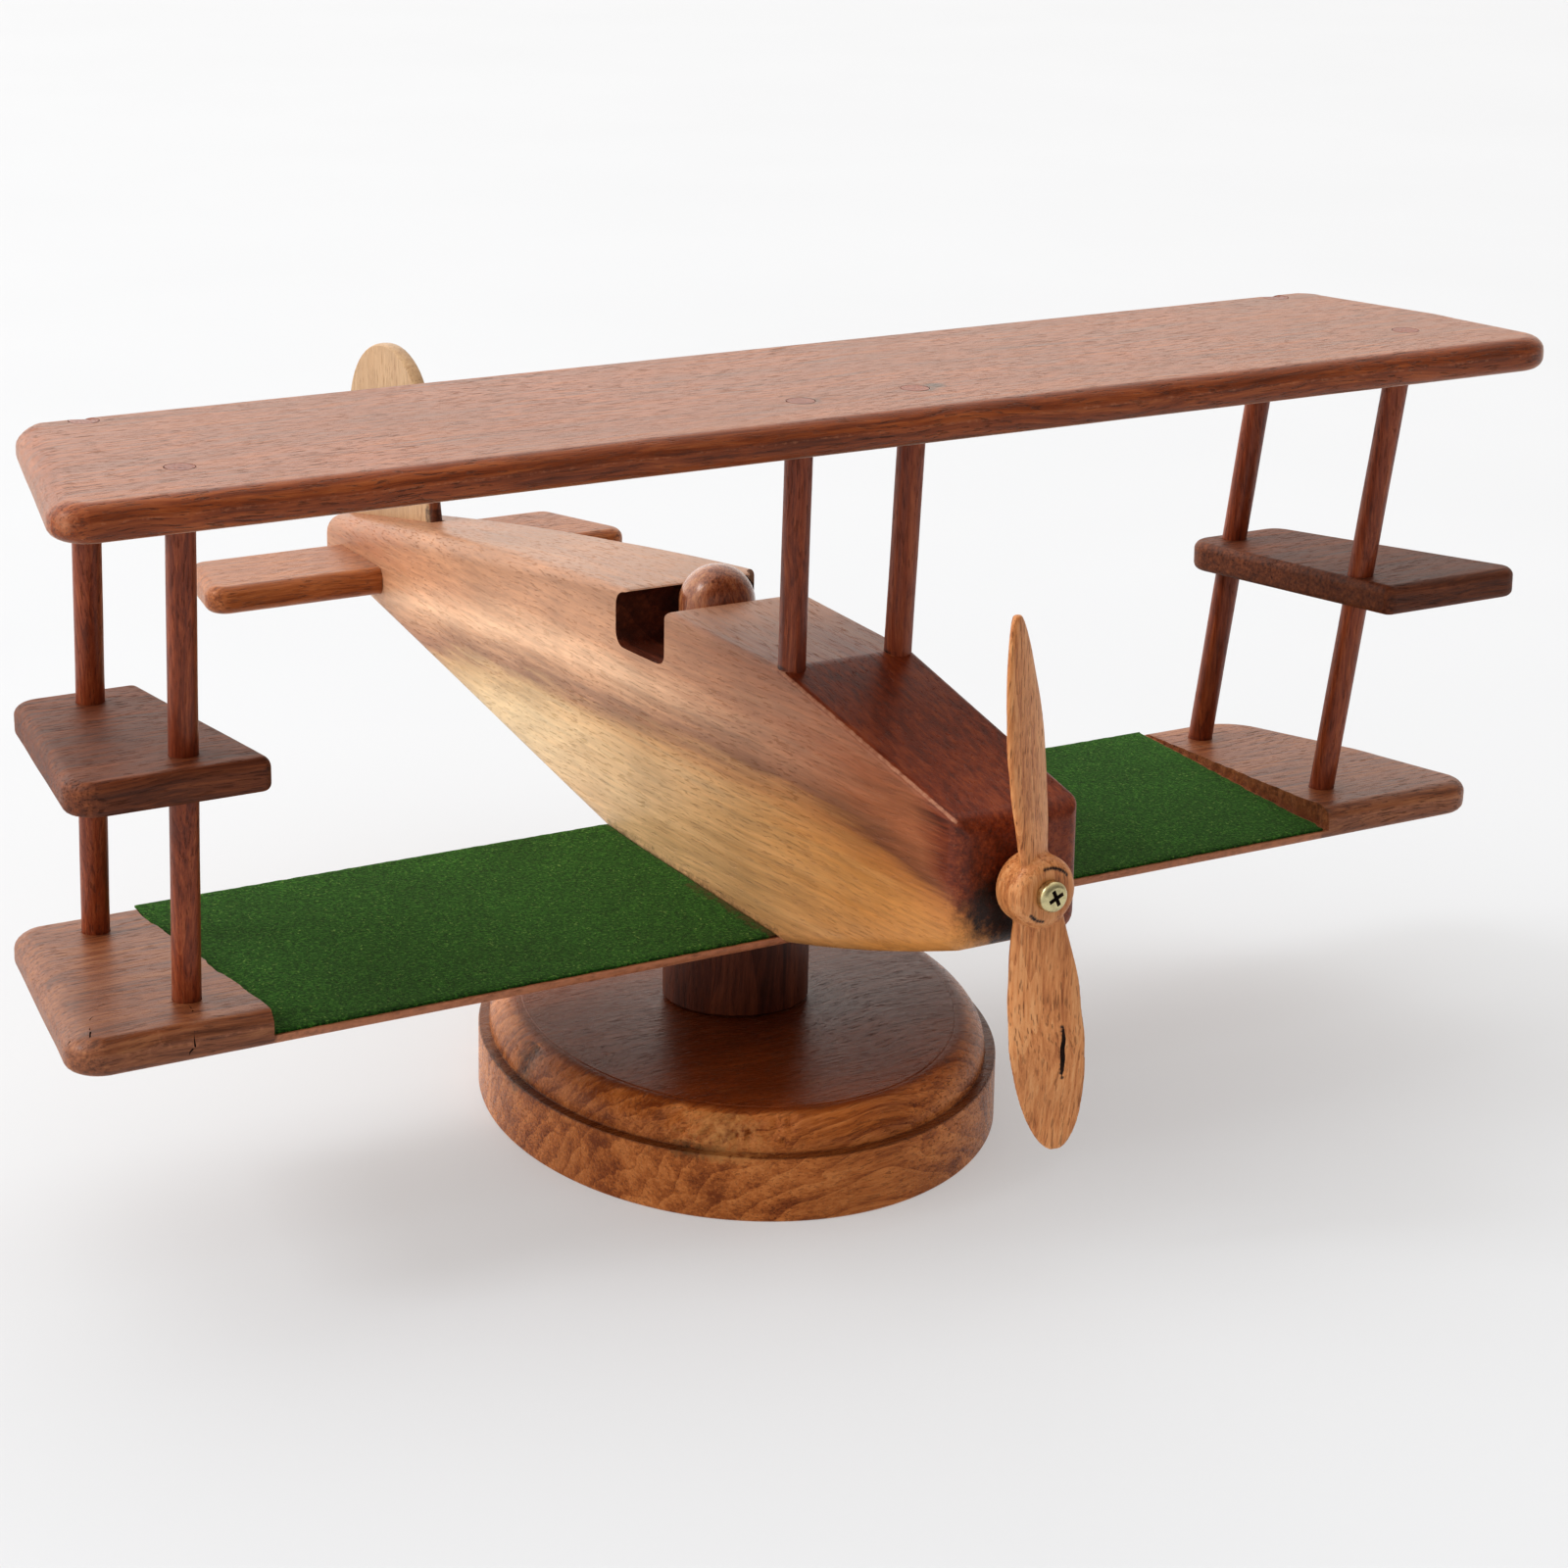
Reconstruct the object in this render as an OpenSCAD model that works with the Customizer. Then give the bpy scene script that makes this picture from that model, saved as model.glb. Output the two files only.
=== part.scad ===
// Wooden biplane ornament that turns on an oval pedestal, with a free-spinning propeller.
// Millimetres. The aeroplane's nose points along -Y, its wings lie along X and +Z is up.
// The origin is on the table, on the axis that the aeroplane turns about.
// Port is +X, the pilot's left; starboard is -X.

/* [Boards] */
// Thickness of the two wing boards
wing_thk = 12; // [10:0.5:14]
// Width of both wing boards, from leading to trailing edge
wing_chord = 115; // [105:1:125]
// Thickness of the strut shelves
shelf_thk = 11; // [8:0.5:12]
// Thickness of the tailplane halves
tailplane_thk = 11; // [8:0.5:12]
// Thickness of the fin
fin_thk = 6; // [4:0.5:8]
// Radius of the boards' rounded corners, seen from above
corner_r = 11; // [6:1:14]

/* [Upper wing] */
// How far the upper wing's leading edge reaches to starboard
upper_starboard_x = 294; // [284:1:300]
// How far the upper wing's leading edge reaches to port
upper_port_x = 283; // [276:1:292]
// How far the upper wing's trailing edge reaches to either side
upper_trail_x = 260; // [252:1:266]
// Where the upper wing's leading edge is
upper_lead_y = -103; // [-110:1:-96]
// Height of the upper wing's underside above the table
upper_base_z = 256; // [240:1:270]

/* [Lower wing] */
// How far the lower wing's leading edge reaches to starboard
lower_starboard_x = 282; // [274:1:288]
// How far the lower wing's leading edge reaches to port
lower_port_x = 290; // [282:1:296]
// How far the lower wing's trailing edge reaches to either side
lower_trail_x = 256.5; // [250:0.5:262]
// Where the lower wing's leading edge is
lower_lead_y = -71; // [-76:1:-66]
// Height of the lower wing's underside above the table
lower_base_z = 79.5; // [74:0.5:84]
// Half the span of the middle stretch that is planed down towards its leading edge
planed_half_span = 213.5; // [205:0.5:216]
// Wood left at the leading edge of the planed stretch
planed_lead_thk = 3.5; // [3:0.5:6]
// Thickness of the felt glued on the planed stretch
felt_thk = 1.1; // [0.8:0.1:2]

/* [Fuselage] */
// Half the fuselage's width at its widest, at the cockpit
fuselage_half_w = 29; // [26:0.5:32]
// Where the flat front of the nose is
nose_y = -171; // [-180:1:-165]
// Half the width of the nose
nose_half_w = 24.5; // [21:0.5:27]
// Where the tail ends
tail_y = 306; // [290:1:320]
// Half the width of the tail's end
tail_half_w = 13.8; // [11:0.1:17]
// Bottom of the cockpit above the table
cockpit_floor_z = 160.5; // [155:0.5:166]

/* [Struts] */
// Diameter of the strut dowels
strut_d = 9.5; // [8:0.5:11]
// Distance of the starboard struts' feet from the middle
strut_starboard_x = 233; // [230:1:236]
// Distance of the port struts' feet from the middle
strut_port_x = 229; // [228:1:234]
// How far the front outer struts' feet are in front of the turning axis
strut_front_y = -47.5; // [-50:0.5:-44]
// Distance between the front and rear outer struts
strut_pitch = 74; // [70:1:76]
// How far the outer struts lean forward between the two wings
strut_lean = 20; // [10:1:24]
// Distance of the outer struts' tops from the middle
strut_top_x = 238.5; // [236:0.5:241]

/* [Pedestal] */
// Half the width of the oval base
base_half_w = 92; // [80:1:100]
// Half the length of the oval base
base_half_l = 125; // [110:1:135]
// Height of the base
base_h = 35.5; // [32:0.5:40]
// Angle between the base's width and the wings as the ornament stands
base_turn = -20.5; // [-60:0.5:60]
// Diameter of the column
column_d = 52.5; // [46:0.5:56]

/* [Propeller] */
// Length of the propeller from the axis to the end of a blade
blade_r = 92; // [80:1:96]
// Widest part of a blade
blade_w = 25; // [20:1:27]
// Angle of the blades to their disc
blade_pitch = 26; // [15:1:30]
// Diameter of the hub
hub_d = 24; // [22:0.5:26]
// Angle of the blades to the vertical as the propeller stands
propeller_turn = -7; // [-90:1:90]

/* [Hidden] */
$fn = 64;
fine_fn = 96;            // for the widest round shapes

PORT = 1;
STARBOARD = -1;
glue_gap = 0.05;         // radial room for glue round every dowel
run_gap = 0.07;          // radial room round the two screws that something turns on
face_gap = 0.25;         // room between faces that turn past each other
past = 1;                // how far a cutter reaches past what it cuts
span_z = 300;            // taller than the ornament
span_xy = 800;           // wider and longer than the ornament
strut_past = [-0.12, 1.05];    // where an outer strut's bore starts and ends, in shares of its gap
cabane_past = [-0.3, 1.05];    // the same for a centre strut, which goes deep into the deck

upper_top_z = upper_base_z + wing_thk;
lower_top_z = lower_base_z + wing_thk;
lower_trail_y = lower_lead_y + wing_chord;
tip_bend = 0.46;         // where each wing's port tip bends, as a share of the chord
tip_bulge = 4;           // how far that tip stands out at the bend
tip_bend_r = 90;         // rounding of the bend
upper_port_r = [14, 11];      // rounding of a port tip's front and rear corners
lower_port_r = [13, 24];
planed_trail_thk = wing_thk - 0.3;    // the plane just takes a shaving off the trailing edge
planed_slope = (planed_trail_thk - planed_lead_thk) / wing_chord;
felt_setback = 0.8;      // the felt ends this far from the wing's two edges
felt_lead_y = lower_lead_y + felt_setback;
felt_trail_y = lower_trail_y - felt_setback;

// fuselage side view
deck_break = [-68, 177];         // top of the sloping cowl
deck_crest = [34, 181.8];        // highest point, behind the cockpit
cowl_foot_z = 152;               // where the cowl meets the nose
deck_fall = 0.07;                // slope of the rear deck at the crest
deck_bend = 0.00018;             // how much that slope grows along the deck
belly_rise = 0.19;               // slope of the belly behind the wing
belly_bend = 0.00012;            // how much that slope eases towards the tail
belly_step = 10;                 // height of the belly above the wing's underside, just behind the wing
chin_step = 1;                   // height of the chin above the wing's underside, at its leading edge
chin_rise = 0.22;                // slope of the chin at the wing's leading edge
chin_bend = 0.0006;              // how much that slope grows towards the nose
nose_corner_r = 6;               // rounding of the nose's upper and lower edges
widest_y = 20;                   // where the fuselage is widest
outline_step = 17;               // spacing of the points along a curved outline
taper_bend = 1.5;                // how late the tail narrows: 1 would be a straight taper

// cockpit, a slot sawn across the fuselage
cockpit_front_y = 3.8;
cockpit_rear_y = 37.4;
cockpit_ceiling_z = 180.7;       // the slot runs back under the deck, behind its opening
cockpit_mouth_y = 30;            // rear edge of the opening in the deck
cockpit_front_r = 4;
cockpit_rear_r = 5.5;
cockpit_break_w = 6.5;           // how far in the wood over the slot is missing

// pilot, a round-headed peg
pilot_r = 13.6;
pilot_pos = [1.2, 17.7];
pilot_top_z = 190.6;
pilot_foot_r = 4.5;               // bevel that clears the rounded rear of the cockpit's floor

// centre struts
cabane_foot = [21.2, -67.6];
cabane_top = [22.4, -72];
cabane_foot_z = 157;

// strut shelves
shelf_top_z = 175;
shelf_tilt = 1.5;                // the shelves rise towards the front
// corners of each shelf: inner front, outer front, outer rear, inner rear; and their rounding
shelf_corners_starboard = [[-213, -75], [-281, -75], [-257, 33], [-213, 33]];
shelf_r_starboard = [4, 10, 10, 4];
shelf_corners_port = [[229.5, -78.5], [296, -78.5], [262, 27], [215, 27]];
shelf_r_port = [4, 7, 10, 10];

// tail
// these two: starboard, port
tailplane_half_span = [96.5, 101.5];
tailplane_rake = [12, 15.5];
tailplane_corner_r = [0.5, 8, 8, 0.5];
tailplane_lead_y = 243.5;
tailplane_trail_y = 292.5;
tailplane_top_z = 141;
tailplane_lift = 3.5;            // how much higher the port half sits
tail_dowel_z = tailplane_top_z + tailplane_lift / 2 - tailplane_thk / 2;
tailplane_seat_y = 268;          // where the fuselage's width sets the tailplane's root
tailplane_overlap = 3;           // what the flank's taper then trims off that root
tail_dowel_d = 5;
tail_dowel_y = [257, 280];
tail_dowel_reach = 16;           // how far each dowel goes into the tailplane
fin_arc = [271, 193];            // centre of the fin's arched top
fin_arc_r = 33;
fin_lean = 12;                   // how far the front edge leans back, in degrees
fin_seat = 9;                    // depth of the fin's slot in the deck
fin_foot_z = 152;                // lowest point of the front edge, down in the slot
fin_trail_top_z = 176.5;         // top of the fin's upright rear edge
// where the front edge runs into the arch, and where it ends in the slot
fin_front_top = fin_arc + fin_arc_r * [-cos(fin_lean), sin(fin_lean)];
fin_foot_y = fin_front_top[0] - (fin_front_top[1] - fin_foot_z) * tan(fin_lean);

// pedestal
base_slab_h = 23;
base_ledge = 4;                  // flat step round the slab
base_fillet_h = 1.6;             // upright part of the step
base_round_r = base_h - base_slab_h - base_fillet_h;
base_points = 72;                // points round the oval
base_round_steps = 6;
column_foot_z = base_h + face_gap;
swivel_r = 3;
swivel_tip_z = 64;
swivel_head_r = 6.5;
swivel_head_h = 4;
swivel_washer_r = 9;
swivel_washer_h = 1.5;
counterbore_r = 11;
counterbore_h = 12;
swivel_washer_z = counterbore_h - face_gap - swivel_washer_h;
swivel_socket_r = 3.5;           // across the corners of the hexagonal socket
column_dowel_r = 6;
column_dowel_z = [67, 108];

// propeller
axis_z = 128.9;
prop_screw_r = 2.25;
prop_screw_depth = 26;
prop_washer_r = 6;
prop_washer_h = 1;
hub_len = 15.5;
hub_round = 4.5;                 // rounding of the hub's two rims
hub_rear_y = nose_y - prop_washer_h - face_gap;
hub_front_y = hub_rear_y - hub_len;
prop_head_r = 5.1;
prop_head_h = 3.6;
prop_head_dome = 1.8;            // rounding of the head's rim
recess_l = 6.8;                  // cross recess
recess_w = 1.4;
recess_h = 1.6;
recess_turn = 25;
blade_forward = 0.6;             // how far the blades sit in front of the hub's middle
blade_y = (hub_rear_y + hub_front_y) / 2 - blade_forward;
blade_thk = 4;
blade_root_w = 12.5;
blade_widest = 0.55;             // where a blade is widest, as a share of its length
blade_fullness = 2.5;            // how square the end is: 2 would be an oval
blade_points = 14;               // points along each edge of a blade

// ---------- helpers ----------

function unit(v) = v / norm(v);
function cross2(a, b) = a[0] * b[1] - a[1] * b[0];
function turned(v, angle) = [v[0] * cos(angle) - v[1] * sin(angle),
                             v[0] * sin(angle) + v[1] * cos(angle)];

// Points of the arc that rounds the corner b between its neighbours a and c
function corner_arc(a, b, c, r, steps) =
    let (to_a = unit(a - b),
         to_c = unit(c - b),
         half = acos(to_a * to_c) / 2,
         centre = b + unit(to_a + to_c) * r / sin(half),
         start = b + to_a * r / tan(half) - centre,
         way = sign(cross2(to_c, to_a)))
    [for (i = [0 : steps]) centre + turned(start, way * (180 - 2 * half) * i / steps)];

// An outline with every corner rounded to its own radius
function rounded(pts, radii, steps = 6) =
    let (n = len(pts))
    [for (i = [0 : n - 1])
        each corner_arc(pts[(i + n - 1) % n], pts[i], pts[(i + 1) % n], radii[i], steps)];

// Round bar between two points. Its seam is turned away from the plane in which it leans.
module rod(from, to, r) {
    v = to - from;
    translate(from)
        rotate([0, acos(v[2] / norm(v)), atan2(v[1], v[0])]) rotate([0, 0, 90])
            cylinder(h = norm(v), r = r);
}

// Extrudes a side view, whose first axis is Y and second is Z, along X about the middle
module across(length) {
    rotate([90, 0, 90]) linear_extrude(length, center = true) children();
}

module slab(z, h) {
    translate([-span_xy / 2, -span_xy / 2, z]) cube([span_xy, span_xy, h]);
}

// Board outline whose tips are raked: its ends are shorter at the trailing edge, and the port tip bulges
function wing_outline(starboard_x, port_x, trail_x, lead_y, port_r) =
    let (trail_y = lead_y + wing_chord)
    rounded([[-starboard_x, lead_y], [port_x, lead_y],
             [port_x + (trail_x - port_x) * tip_bend + tip_bulge, lead_y + wing_chord * tip_bend],
             [trail_x, trail_y], [-trail_x, trail_y]],
            [corner_r, port_r[0], tip_bend_r, port_r[1], corner_r]);

// ---------- fuselage outline ----------

function deck_z(y) =
    let (d = y - deck_crest[0]) deck_crest[1] - deck_fall * d - deck_bend * d * d;
function belly_rear_z(y) =
    let (d = y - lower_trail_y) lower_base_z + belly_step + belly_rise * d - belly_bend * d * d;
function chin_z(y) =
    let (d = lower_lead_y - y) lower_base_z + chin_step + chin_rise * d + chin_bend * d * d;
// Half the fuselage's width at y: straight towards the nose, drawn in towards the tail
function half_w(y) =
    y < widest_y
        ? fuselage_half_w - (fuselage_half_w - nose_half_w) * (widest_y - y) / (widest_y - nose_y)
        : fuselage_half_w - (fuselage_half_w - tail_half_w)
            * pow((y - widest_y) / (tail_y - widest_y), taper_bend);

module fuselage_side() {
    nose = corner_arc(deck_break, [nose_y, cowl_foot_z], [nose_y, chin_z(nose_y)], nose_corner_r, 5);
    chin = corner_arc([nose_y, cowl_foot_z], [nose_y, chin_z(nose_y)],
                      [nose_y + outline_step, chin_z(nose_y + outline_step)], nose_corner_r, 5);
    polygon(concat(
        [for (y = [tail_y : -outline_step : deck_crest[0] + 1]) [y, deck_z(y)]],
        [deck_crest, deck_break],
        nose, chin,
        [for (y = [nose_y + outline_step : outline_step : lower_lead_y]) [y, chin_z(y)]],
        [[lower_lead_y, lower_base_z]],
        [for (y = [lower_trail_y : outline_step : tail_y - 1]) [y, belly_rear_z(y)]],
        [[tail_y, belly_rear_z(tail_y)]]));
}

module fuselage_plan(grow = 0) {
    ys = concat([nose_y, widest_y],
                [for (y = [widest_y + outline_step : outline_step : tail_y - 1]) y], [tail_y]);
    n = len(ys);
    polygon(concat([for (y = ys) [half_w(y) + grow, y]],
                   [for (i = [n - 1 : -1 : 0]) [-half_w(ys[i]) - grow, ys[i]]]));
}

module cockpit_side() {
    polygon(rounded([[cockpit_front_y, cockpit_floor_z], [cockpit_rear_y, cockpit_floor_z],
                     [cockpit_rear_y, cockpit_ceiling_z], [cockpit_front_y, cockpit_ceiling_z]],
                    [cockpit_front_r, cockpit_rear_r, cockpit_rear_r, cockpit_front_r]));
    translate([cockpit_front_y, cockpit_ceiling_z - cockpit_rear_r])
        square([cockpit_mouth_y - cockpit_front_y, deck_crest[1] + past - cockpit_ceiling_z + cockpit_rear_r]);
}

// The port corner of the thin wood over the slot's rear end has broken off in a curve
module cockpit_break() {
    depth = cockpit_rear_y - cockpit_mouth_y;
    translate([fuselage_half_w, cockpit_mouth_y, cockpit_ceiling_z - cockpit_rear_r])
        linear_extrude(span_z)
            polygon(concat([[past, depth], [past, -past], [-cockpit_break_w, -past]],
                           [for (a = [0 : 15 : 90]) [-cockpit_break_w * cos(a), depth * sin(a)]]));
}

// ---------- dowels ----------

// Axis of an outer strut: its foot and top, both carried on past the boards
function strut_point(side, rear, t) =
    let (foot_x = side > 0 ? strut_port_x : strut_starboard_x)
    [side * (foot_x + (strut_top_x - foot_x) * t),
     strut_front_y + (rear ? strut_pitch : 0) - strut_lean * t,
     lower_top_z + (upper_top_z - lower_top_z) * t];
module strut_rod(side, rear, r) {
    rod(strut_point(side, rear, strut_past[0]), strut_point(side, rear, strut_past[1]), r);
}
function cabane_point(side, t) =
    [side * (cabane_foot[0] + (cabane_top[0] - cabane_foot[0]) * t),
     cabane_foot[1] + (cabane_top[1] - cabane_foot[1]) * t,
     deck_break[1] + (upper_top_z - deck_break[1]) * t];
module cabane_rod(side, r) {
    rod(cabane_point(side, cabane_past[0]), cabane_point(side, cabane_past[1]), r);
}
module outer_strut_holes() {
    for (side = [PORT, STARBOARD], rear = [false, true])
        strut_rod(side, rear, strut_d / 2 + glue_gap);
}
module outer_strut(side, rear) {
    color("sienna") intersection() {
        strut_rod(side, rear, strut_d / 2);
        slab(lower_base_z, upper_top_z - lower_base_z);
    }
}
module cabane_strut(side) {
    color("sienna") intersection() {
        cabane_rod(side, strut_d / 2);
        slab(cabane_foot_z, upper_top_z - cabane_foot_z);
    }
}
module tail_dowels(r, reach) {
    length = 2 * (half_w(tailplane_seat_y) + reach);
    for (y = tail_dowel_y)
        translate([-length / 2, y, tail_dowel_z])
            rotate([0, 90, 0]) cylinder(h = length, r = r);
}

// ---------- pedestal ----------

module oval(inset) {
    polygon([for (i = [0 : base_points - 1]) let (a = 360 * i / base_points)
        [(base_half_w - inset) * cos(a), (base_half_l - inset) * sin(a)]]);
}

module base_plinth() {
    color("peru") difference() {
        rotate([0, 0, base_turn]) {
            linear_extrude(base_slab_h) oval(0);
            hull() for (i = [0 : base_round_steps]) let (a = 90 * i / base_round_steps)
                linear_extrude(base_slab_h + base_fillet_h + base_round_r * sin(a))
                    oval(base_ledge + base_round_r * (1 - cos(a)));
        }
        translate([0, 0, -past]) cylinder(h = base_h + 2 * past, r = swivel_r + run_gap);
        translate([0, 0, -past]) cylinder(h = counterbore_h + past, r = counterbore_r);
    }
}

module swivel_screw() {
    color("silver") {
        translate([0, 0, swivel_washer_z]) cylinder(h = swivel_tip_z - swivel_washer_z, r = swivel_r);
        translate([0, 0, swivel_washer_z - swivel_head_h]) difference() {
            cylinder(h = swivel_head_h, r = swivel_head_r);
            translate([0, 0, -past]) cylinder(h = swivel_head_h / 2 + past, r = swivel_socket_r, $fn = 6);
        }
    }
}

module swivel_washer() {
    color("silver") translate([0, 0, swivel_washer_z]) difference() {
        cylinder(h = swivel_washer_h, r = swivel_washer_r);
        translate([0, 0, -past]) cylinder(h = swivel_washer_h + 2 * past, r = swivel_r + glue_gap);
    }
}

module pedestal_column() {
    color("saddlebrown") difference() {
        translate([0, 0, column_foot_z])
            cylinder(h = lower_base_z - column_foot_z, r = column_d / 2, $fn = fine_fn);
        translate([0, 0, column_foot_z - past])
            cylinder(h = swivel_tip_z - column_foot_z + past, r = swivel_r + glue_gap);
        translate([0, 0, column_dowel_z[0]]) cylinder(h = span_z, r = column_dowel_r + glue_gap);
    }
}

module column_dowel() {
    color("burlywood") translate([0, 0, column_dowel_z[0]])
        cylinder(h = column_dowel_z[1] - column_dowel_z[0], r = column_dowel_r);
}

// ---------- wings and felt ----------

// Side view of what is planed off the lower wing's middle, under the felt and the fuselage
module planed_off_side() {
    polygon([[lower_lead_y - past, lower_base_z + planed_lead_thk - planed_slope * past],
             [lower_trail_y + past, lower_base_z + planed_trail_thk + planed_slope * past],
             [lower_trail_y + past, lower_top_z + past],
             [lower_lead_y - past, lower_top_z + past]]);
}

module lower_wing() {
    color("sienna") difference() {
        translate([0, 0, lower_base_z]) linear_extrude(wing_thk)
            polygon(wing_outline(lower_starboard_x, lower_port_x, lower_trail_x, lower_lead_y,
                                 lower_port_r));
        across(2 * planed_half_span) planed_off_side();
        outer_strut_holes();
        translate([0, 0, column_dowel_z[0]]) cylinder(h = span_z, r = column_dowel_r + glue_gap);
    }
}

// Top of the planed stretch at y
function planed_z(y) = lower_base_z + planed_lead_thk + (y - lower_lead_y) * planed_slope;

// Felt on one side: from the fuselage's flank to the end of the planed stretch
module felt(side) {
    color("darkgreen") difference() {
        intersection() {
            across(2 * planed_half_span - 2 * glue_gap) polygon([
                for (p = [[felt_lead_y, 0], [felt_trail_y, 0],
                          [felt_trail_y, felt_thk], [felt_lead_y, felt_thk]])
                    [p[0], planed_z(p[0]) + p[1]]]);
            translate([side > 0 ? 0 : -span_xy, -span_xy / 2, 0]) cube([span_xy, span_xy, span_z]);
        }
        linear_extrude(span_z) fuselage_plan(glue_gap);
    }
}

module upper_wing() {
    color("sienna") difference() {
        translate([0, 0, upper_base_z]) linear_extrude(wing_thk)
            polygon(wing_outline(upper_starboard_x, upper_port_x, upper_trail_x, upper_lead_y,
                                 upper_port_r));
        outer_strut_holes();
        for (side = [PORT, STARBOARD]) cabane_rod(side, strut_d / 2 + glue_gap);
    }
}

// ---------- shelves ----------

module shelf(corners, radii) {
    color("sienna") difference() {
        translate([0, strut_front_y, shelf_top_z]) rotate([-shelf_tilt, 0, 0])
            translate([0, -strut_front_y, -shelf_thk]) linear_extrude(shelf_thk)
                polygon(rounded(corners, radii));
        outer_strut_holes();
    }
}

// ---------- fuselage, tail and pilot ----------

module fin_side(grow = 0) {
    translate(fin_arc) circle(r = fin_arc_r + grow, $fn = fine_fn);
    polygon([[fin_foot_y - grow, fin_foot_z - grow], [tail_y, deck_z(tail_y) - fin_seat - grow],
             [tail_y, fin_trail_top_z], [fin_arc[0] + fin_arc_r, fin_arc[1]],
             fin_front_top - [grow, 0]]);
}

module fuselage() {
    color("burlywood") difference() {
        intersection() {
            across(3 * fuselage_half_w) fuselage_side();
            linear_extrude(span_z) fuselage_plan();
        }
        // seat on the planed wing
        intersection() {
            across(3 * fuselage_half_w) polygon([
                [lower_lead_y, lower_base_z - wing_thk], [lower_trail_y, lower_base_z - wing_thk],
                [lower_trail_y, lower_base_z + planed_trail_thk],
                [lower_lead_y, lower_base_z + planed_lead_thk]]);
        }
        across(3 * fuselage_half_w) cockpit_side();
        cockpit_break();
        across(fin_thk + 2 * glue_gap) fin_side(glue_gap);
        translate([0, 0, column_dowel_z[0]])
            cylinder(h = column_dowel_z[1] - column_dowel_z[0] + glue_gap, r = column_dowel_r + glue_gap);
        for (side = [PORT, STARBOARD]) intersection() {
            cabane_rod(side, strut_d / 2 + glue_gap);
            slab(cabane_foot_z - glue_gap, span_z);
        }
        translate([0, nose_y - past, axis_z]) rotate([-90, 0, 0])
            cylinder(h = prop_screw_depth + past, r = prop_screw_r + glue_gap);
        tail_dowels(tail_dowel_d / 2 + glue_gap, tail_dowel_reach);
    }
}

module tailplane(side) {
    root = half_w(tailplane_seat_y) - tailplane_overlap;
    i = side > 0 ? 1 : 0;
    tip = tailplane_half_span[i];
    pts = [[root, tailplane_lead_y], [tip, tailplane_lead_y],
           [tip - tailplane_rake[i], tailplane_trail_y], [root, tailplane_trail_y]];
    outline = side > 0 ? pts : [for (k = [3 : -1 : 0]) [-pts[k][0], pts[k][1]]];
    color("sienna") difference() {
        translate([0, 0, tailplane_top_z - tailplane_thk + i * tailplane_lift]) linear_extrude(tailplane_thk)
            polygon(rounded(outline, tailplane_corner_r));
        linear_extrude(span_z) fuselage_plan(glue_gap);
        tail_dowels(tail_dowel_d / 2 + glue_gap, tail_dowel_reach + glue_gap);
    }
}

module tailplane_dowels() {
    color("burlywood") tail_dowels(tail_dowel_d / 2, tail_dowel_reach);
}

module fin() {
    color("wheat") across(fin_thk) fin_side();
}

module pilot_head() {
    shoulder_z = pilot_top_z - pilot_r;
    color("saddlebrown") translate([pilot_pos[0], pilot_pos[1], 0]) rotate_extrude() {
        polygon(concat(
            [[0, cockpit_floor_z], [pilot_r - pilot_foot_r, cockpit_floor_z],
             [pilot_r, cockpit_floor_z + pilot_foot_r]],
            [for (a = [0 : 6 : 84]) [pilot_r * cos(a), shoulder_z + pilot_r * sin(a)]],
            [[0, pilot_top_z]]));
    }
}

// ---------- propeller ----------

// Half the blade's width at t, from 0 at the axis to 1 at the end: an oval that narrows to the root
function blade_half_w(t) =
    let (full = blade_w / 2, root = blade_root_w / 2, mid = blade_widest)
    t < mid ? root + (full - root) * sin(90 * t / mid)
            : full * sqrt(max(0, 1 - pow((t - mid) / (1 - mid), blade_fullness)));

module blade() {
    pts = [for (i = [0 : blade_points]) let (t = i / blade_points) [blade_half_w(t), t * blade_r]];
    rotate([0, 0, blade_pitch]) rotate([90, 0, 0]) linear_extrude(blade_thk, center = true)
        polygon(concat(pts, [for (i = [blade_points - 1 : -1 : 0]) [-pts[i][0], pts[i][1]]]));
}

module hub_profile() {
    r = hub_d / 2;
    polygon(concat([[0, 0]],
        [for (a = [0 : 15 : 90]) [r - hub_round * (1 - sin(a)), hub_round * (1 - cos(a))]],
        [for (a = [0 : 15 : 90]) [r - hub_round * (1 - cos(a)), hub_len - hub_round * (1 - sin(a))]],
        [[0, hub_len]]));
}

module propeller() {
    color("sandybrown") difference() {
        translate([0, 0, axis_z]) rotate([0, propeller_turn, 0]) {
            translate([0, hub_rear_y, 0]) rotate([90, 0, 0]) rotate_extrude() hub_profile();
            for (k = [0, 180]) rotate([0, k, 0]) translate([0, blade_y, 0]) blade();
        }
        translate([0, hub_rear_y + past, axis_z]) rotate([90, 0, 0])
            cylinder(h = hub_len + 2 * past, r = prop_screw_r + run_gap);
    }
}

module propeller_screw() {
    head_y = hub_front_y - face_gap;
    shank = nose_y + prop_screw_depth - head_y;
    color("gold") translate([0, head_y, axis_z]) rotate([90, 0, 0]) difference() {
        union() {
            translate([0, 0, -shank]) cylinder(h = shank, r = prop_screw_r);
            rotate_extrude() polygon(concat([[0, 0], [prop_head_r, 0]],
                [for (a = [0 : 15 : 90]) [prop_head_r - prop_head_dome * (1 - cos(a)),
                                          prop_head_h - prop_head_dome * (1 - sin(a))]],
                [[0, prop_head_h]]));
        }
        for (a = [0, 90]) rotate([0, 0, recess_turn + a])
            translate([-recess_l / 2, -recess_w / 2, prop_head_h - recess_h])
                cube([recess_l, recess_w, recess_h + past]);
    }
}

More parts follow.
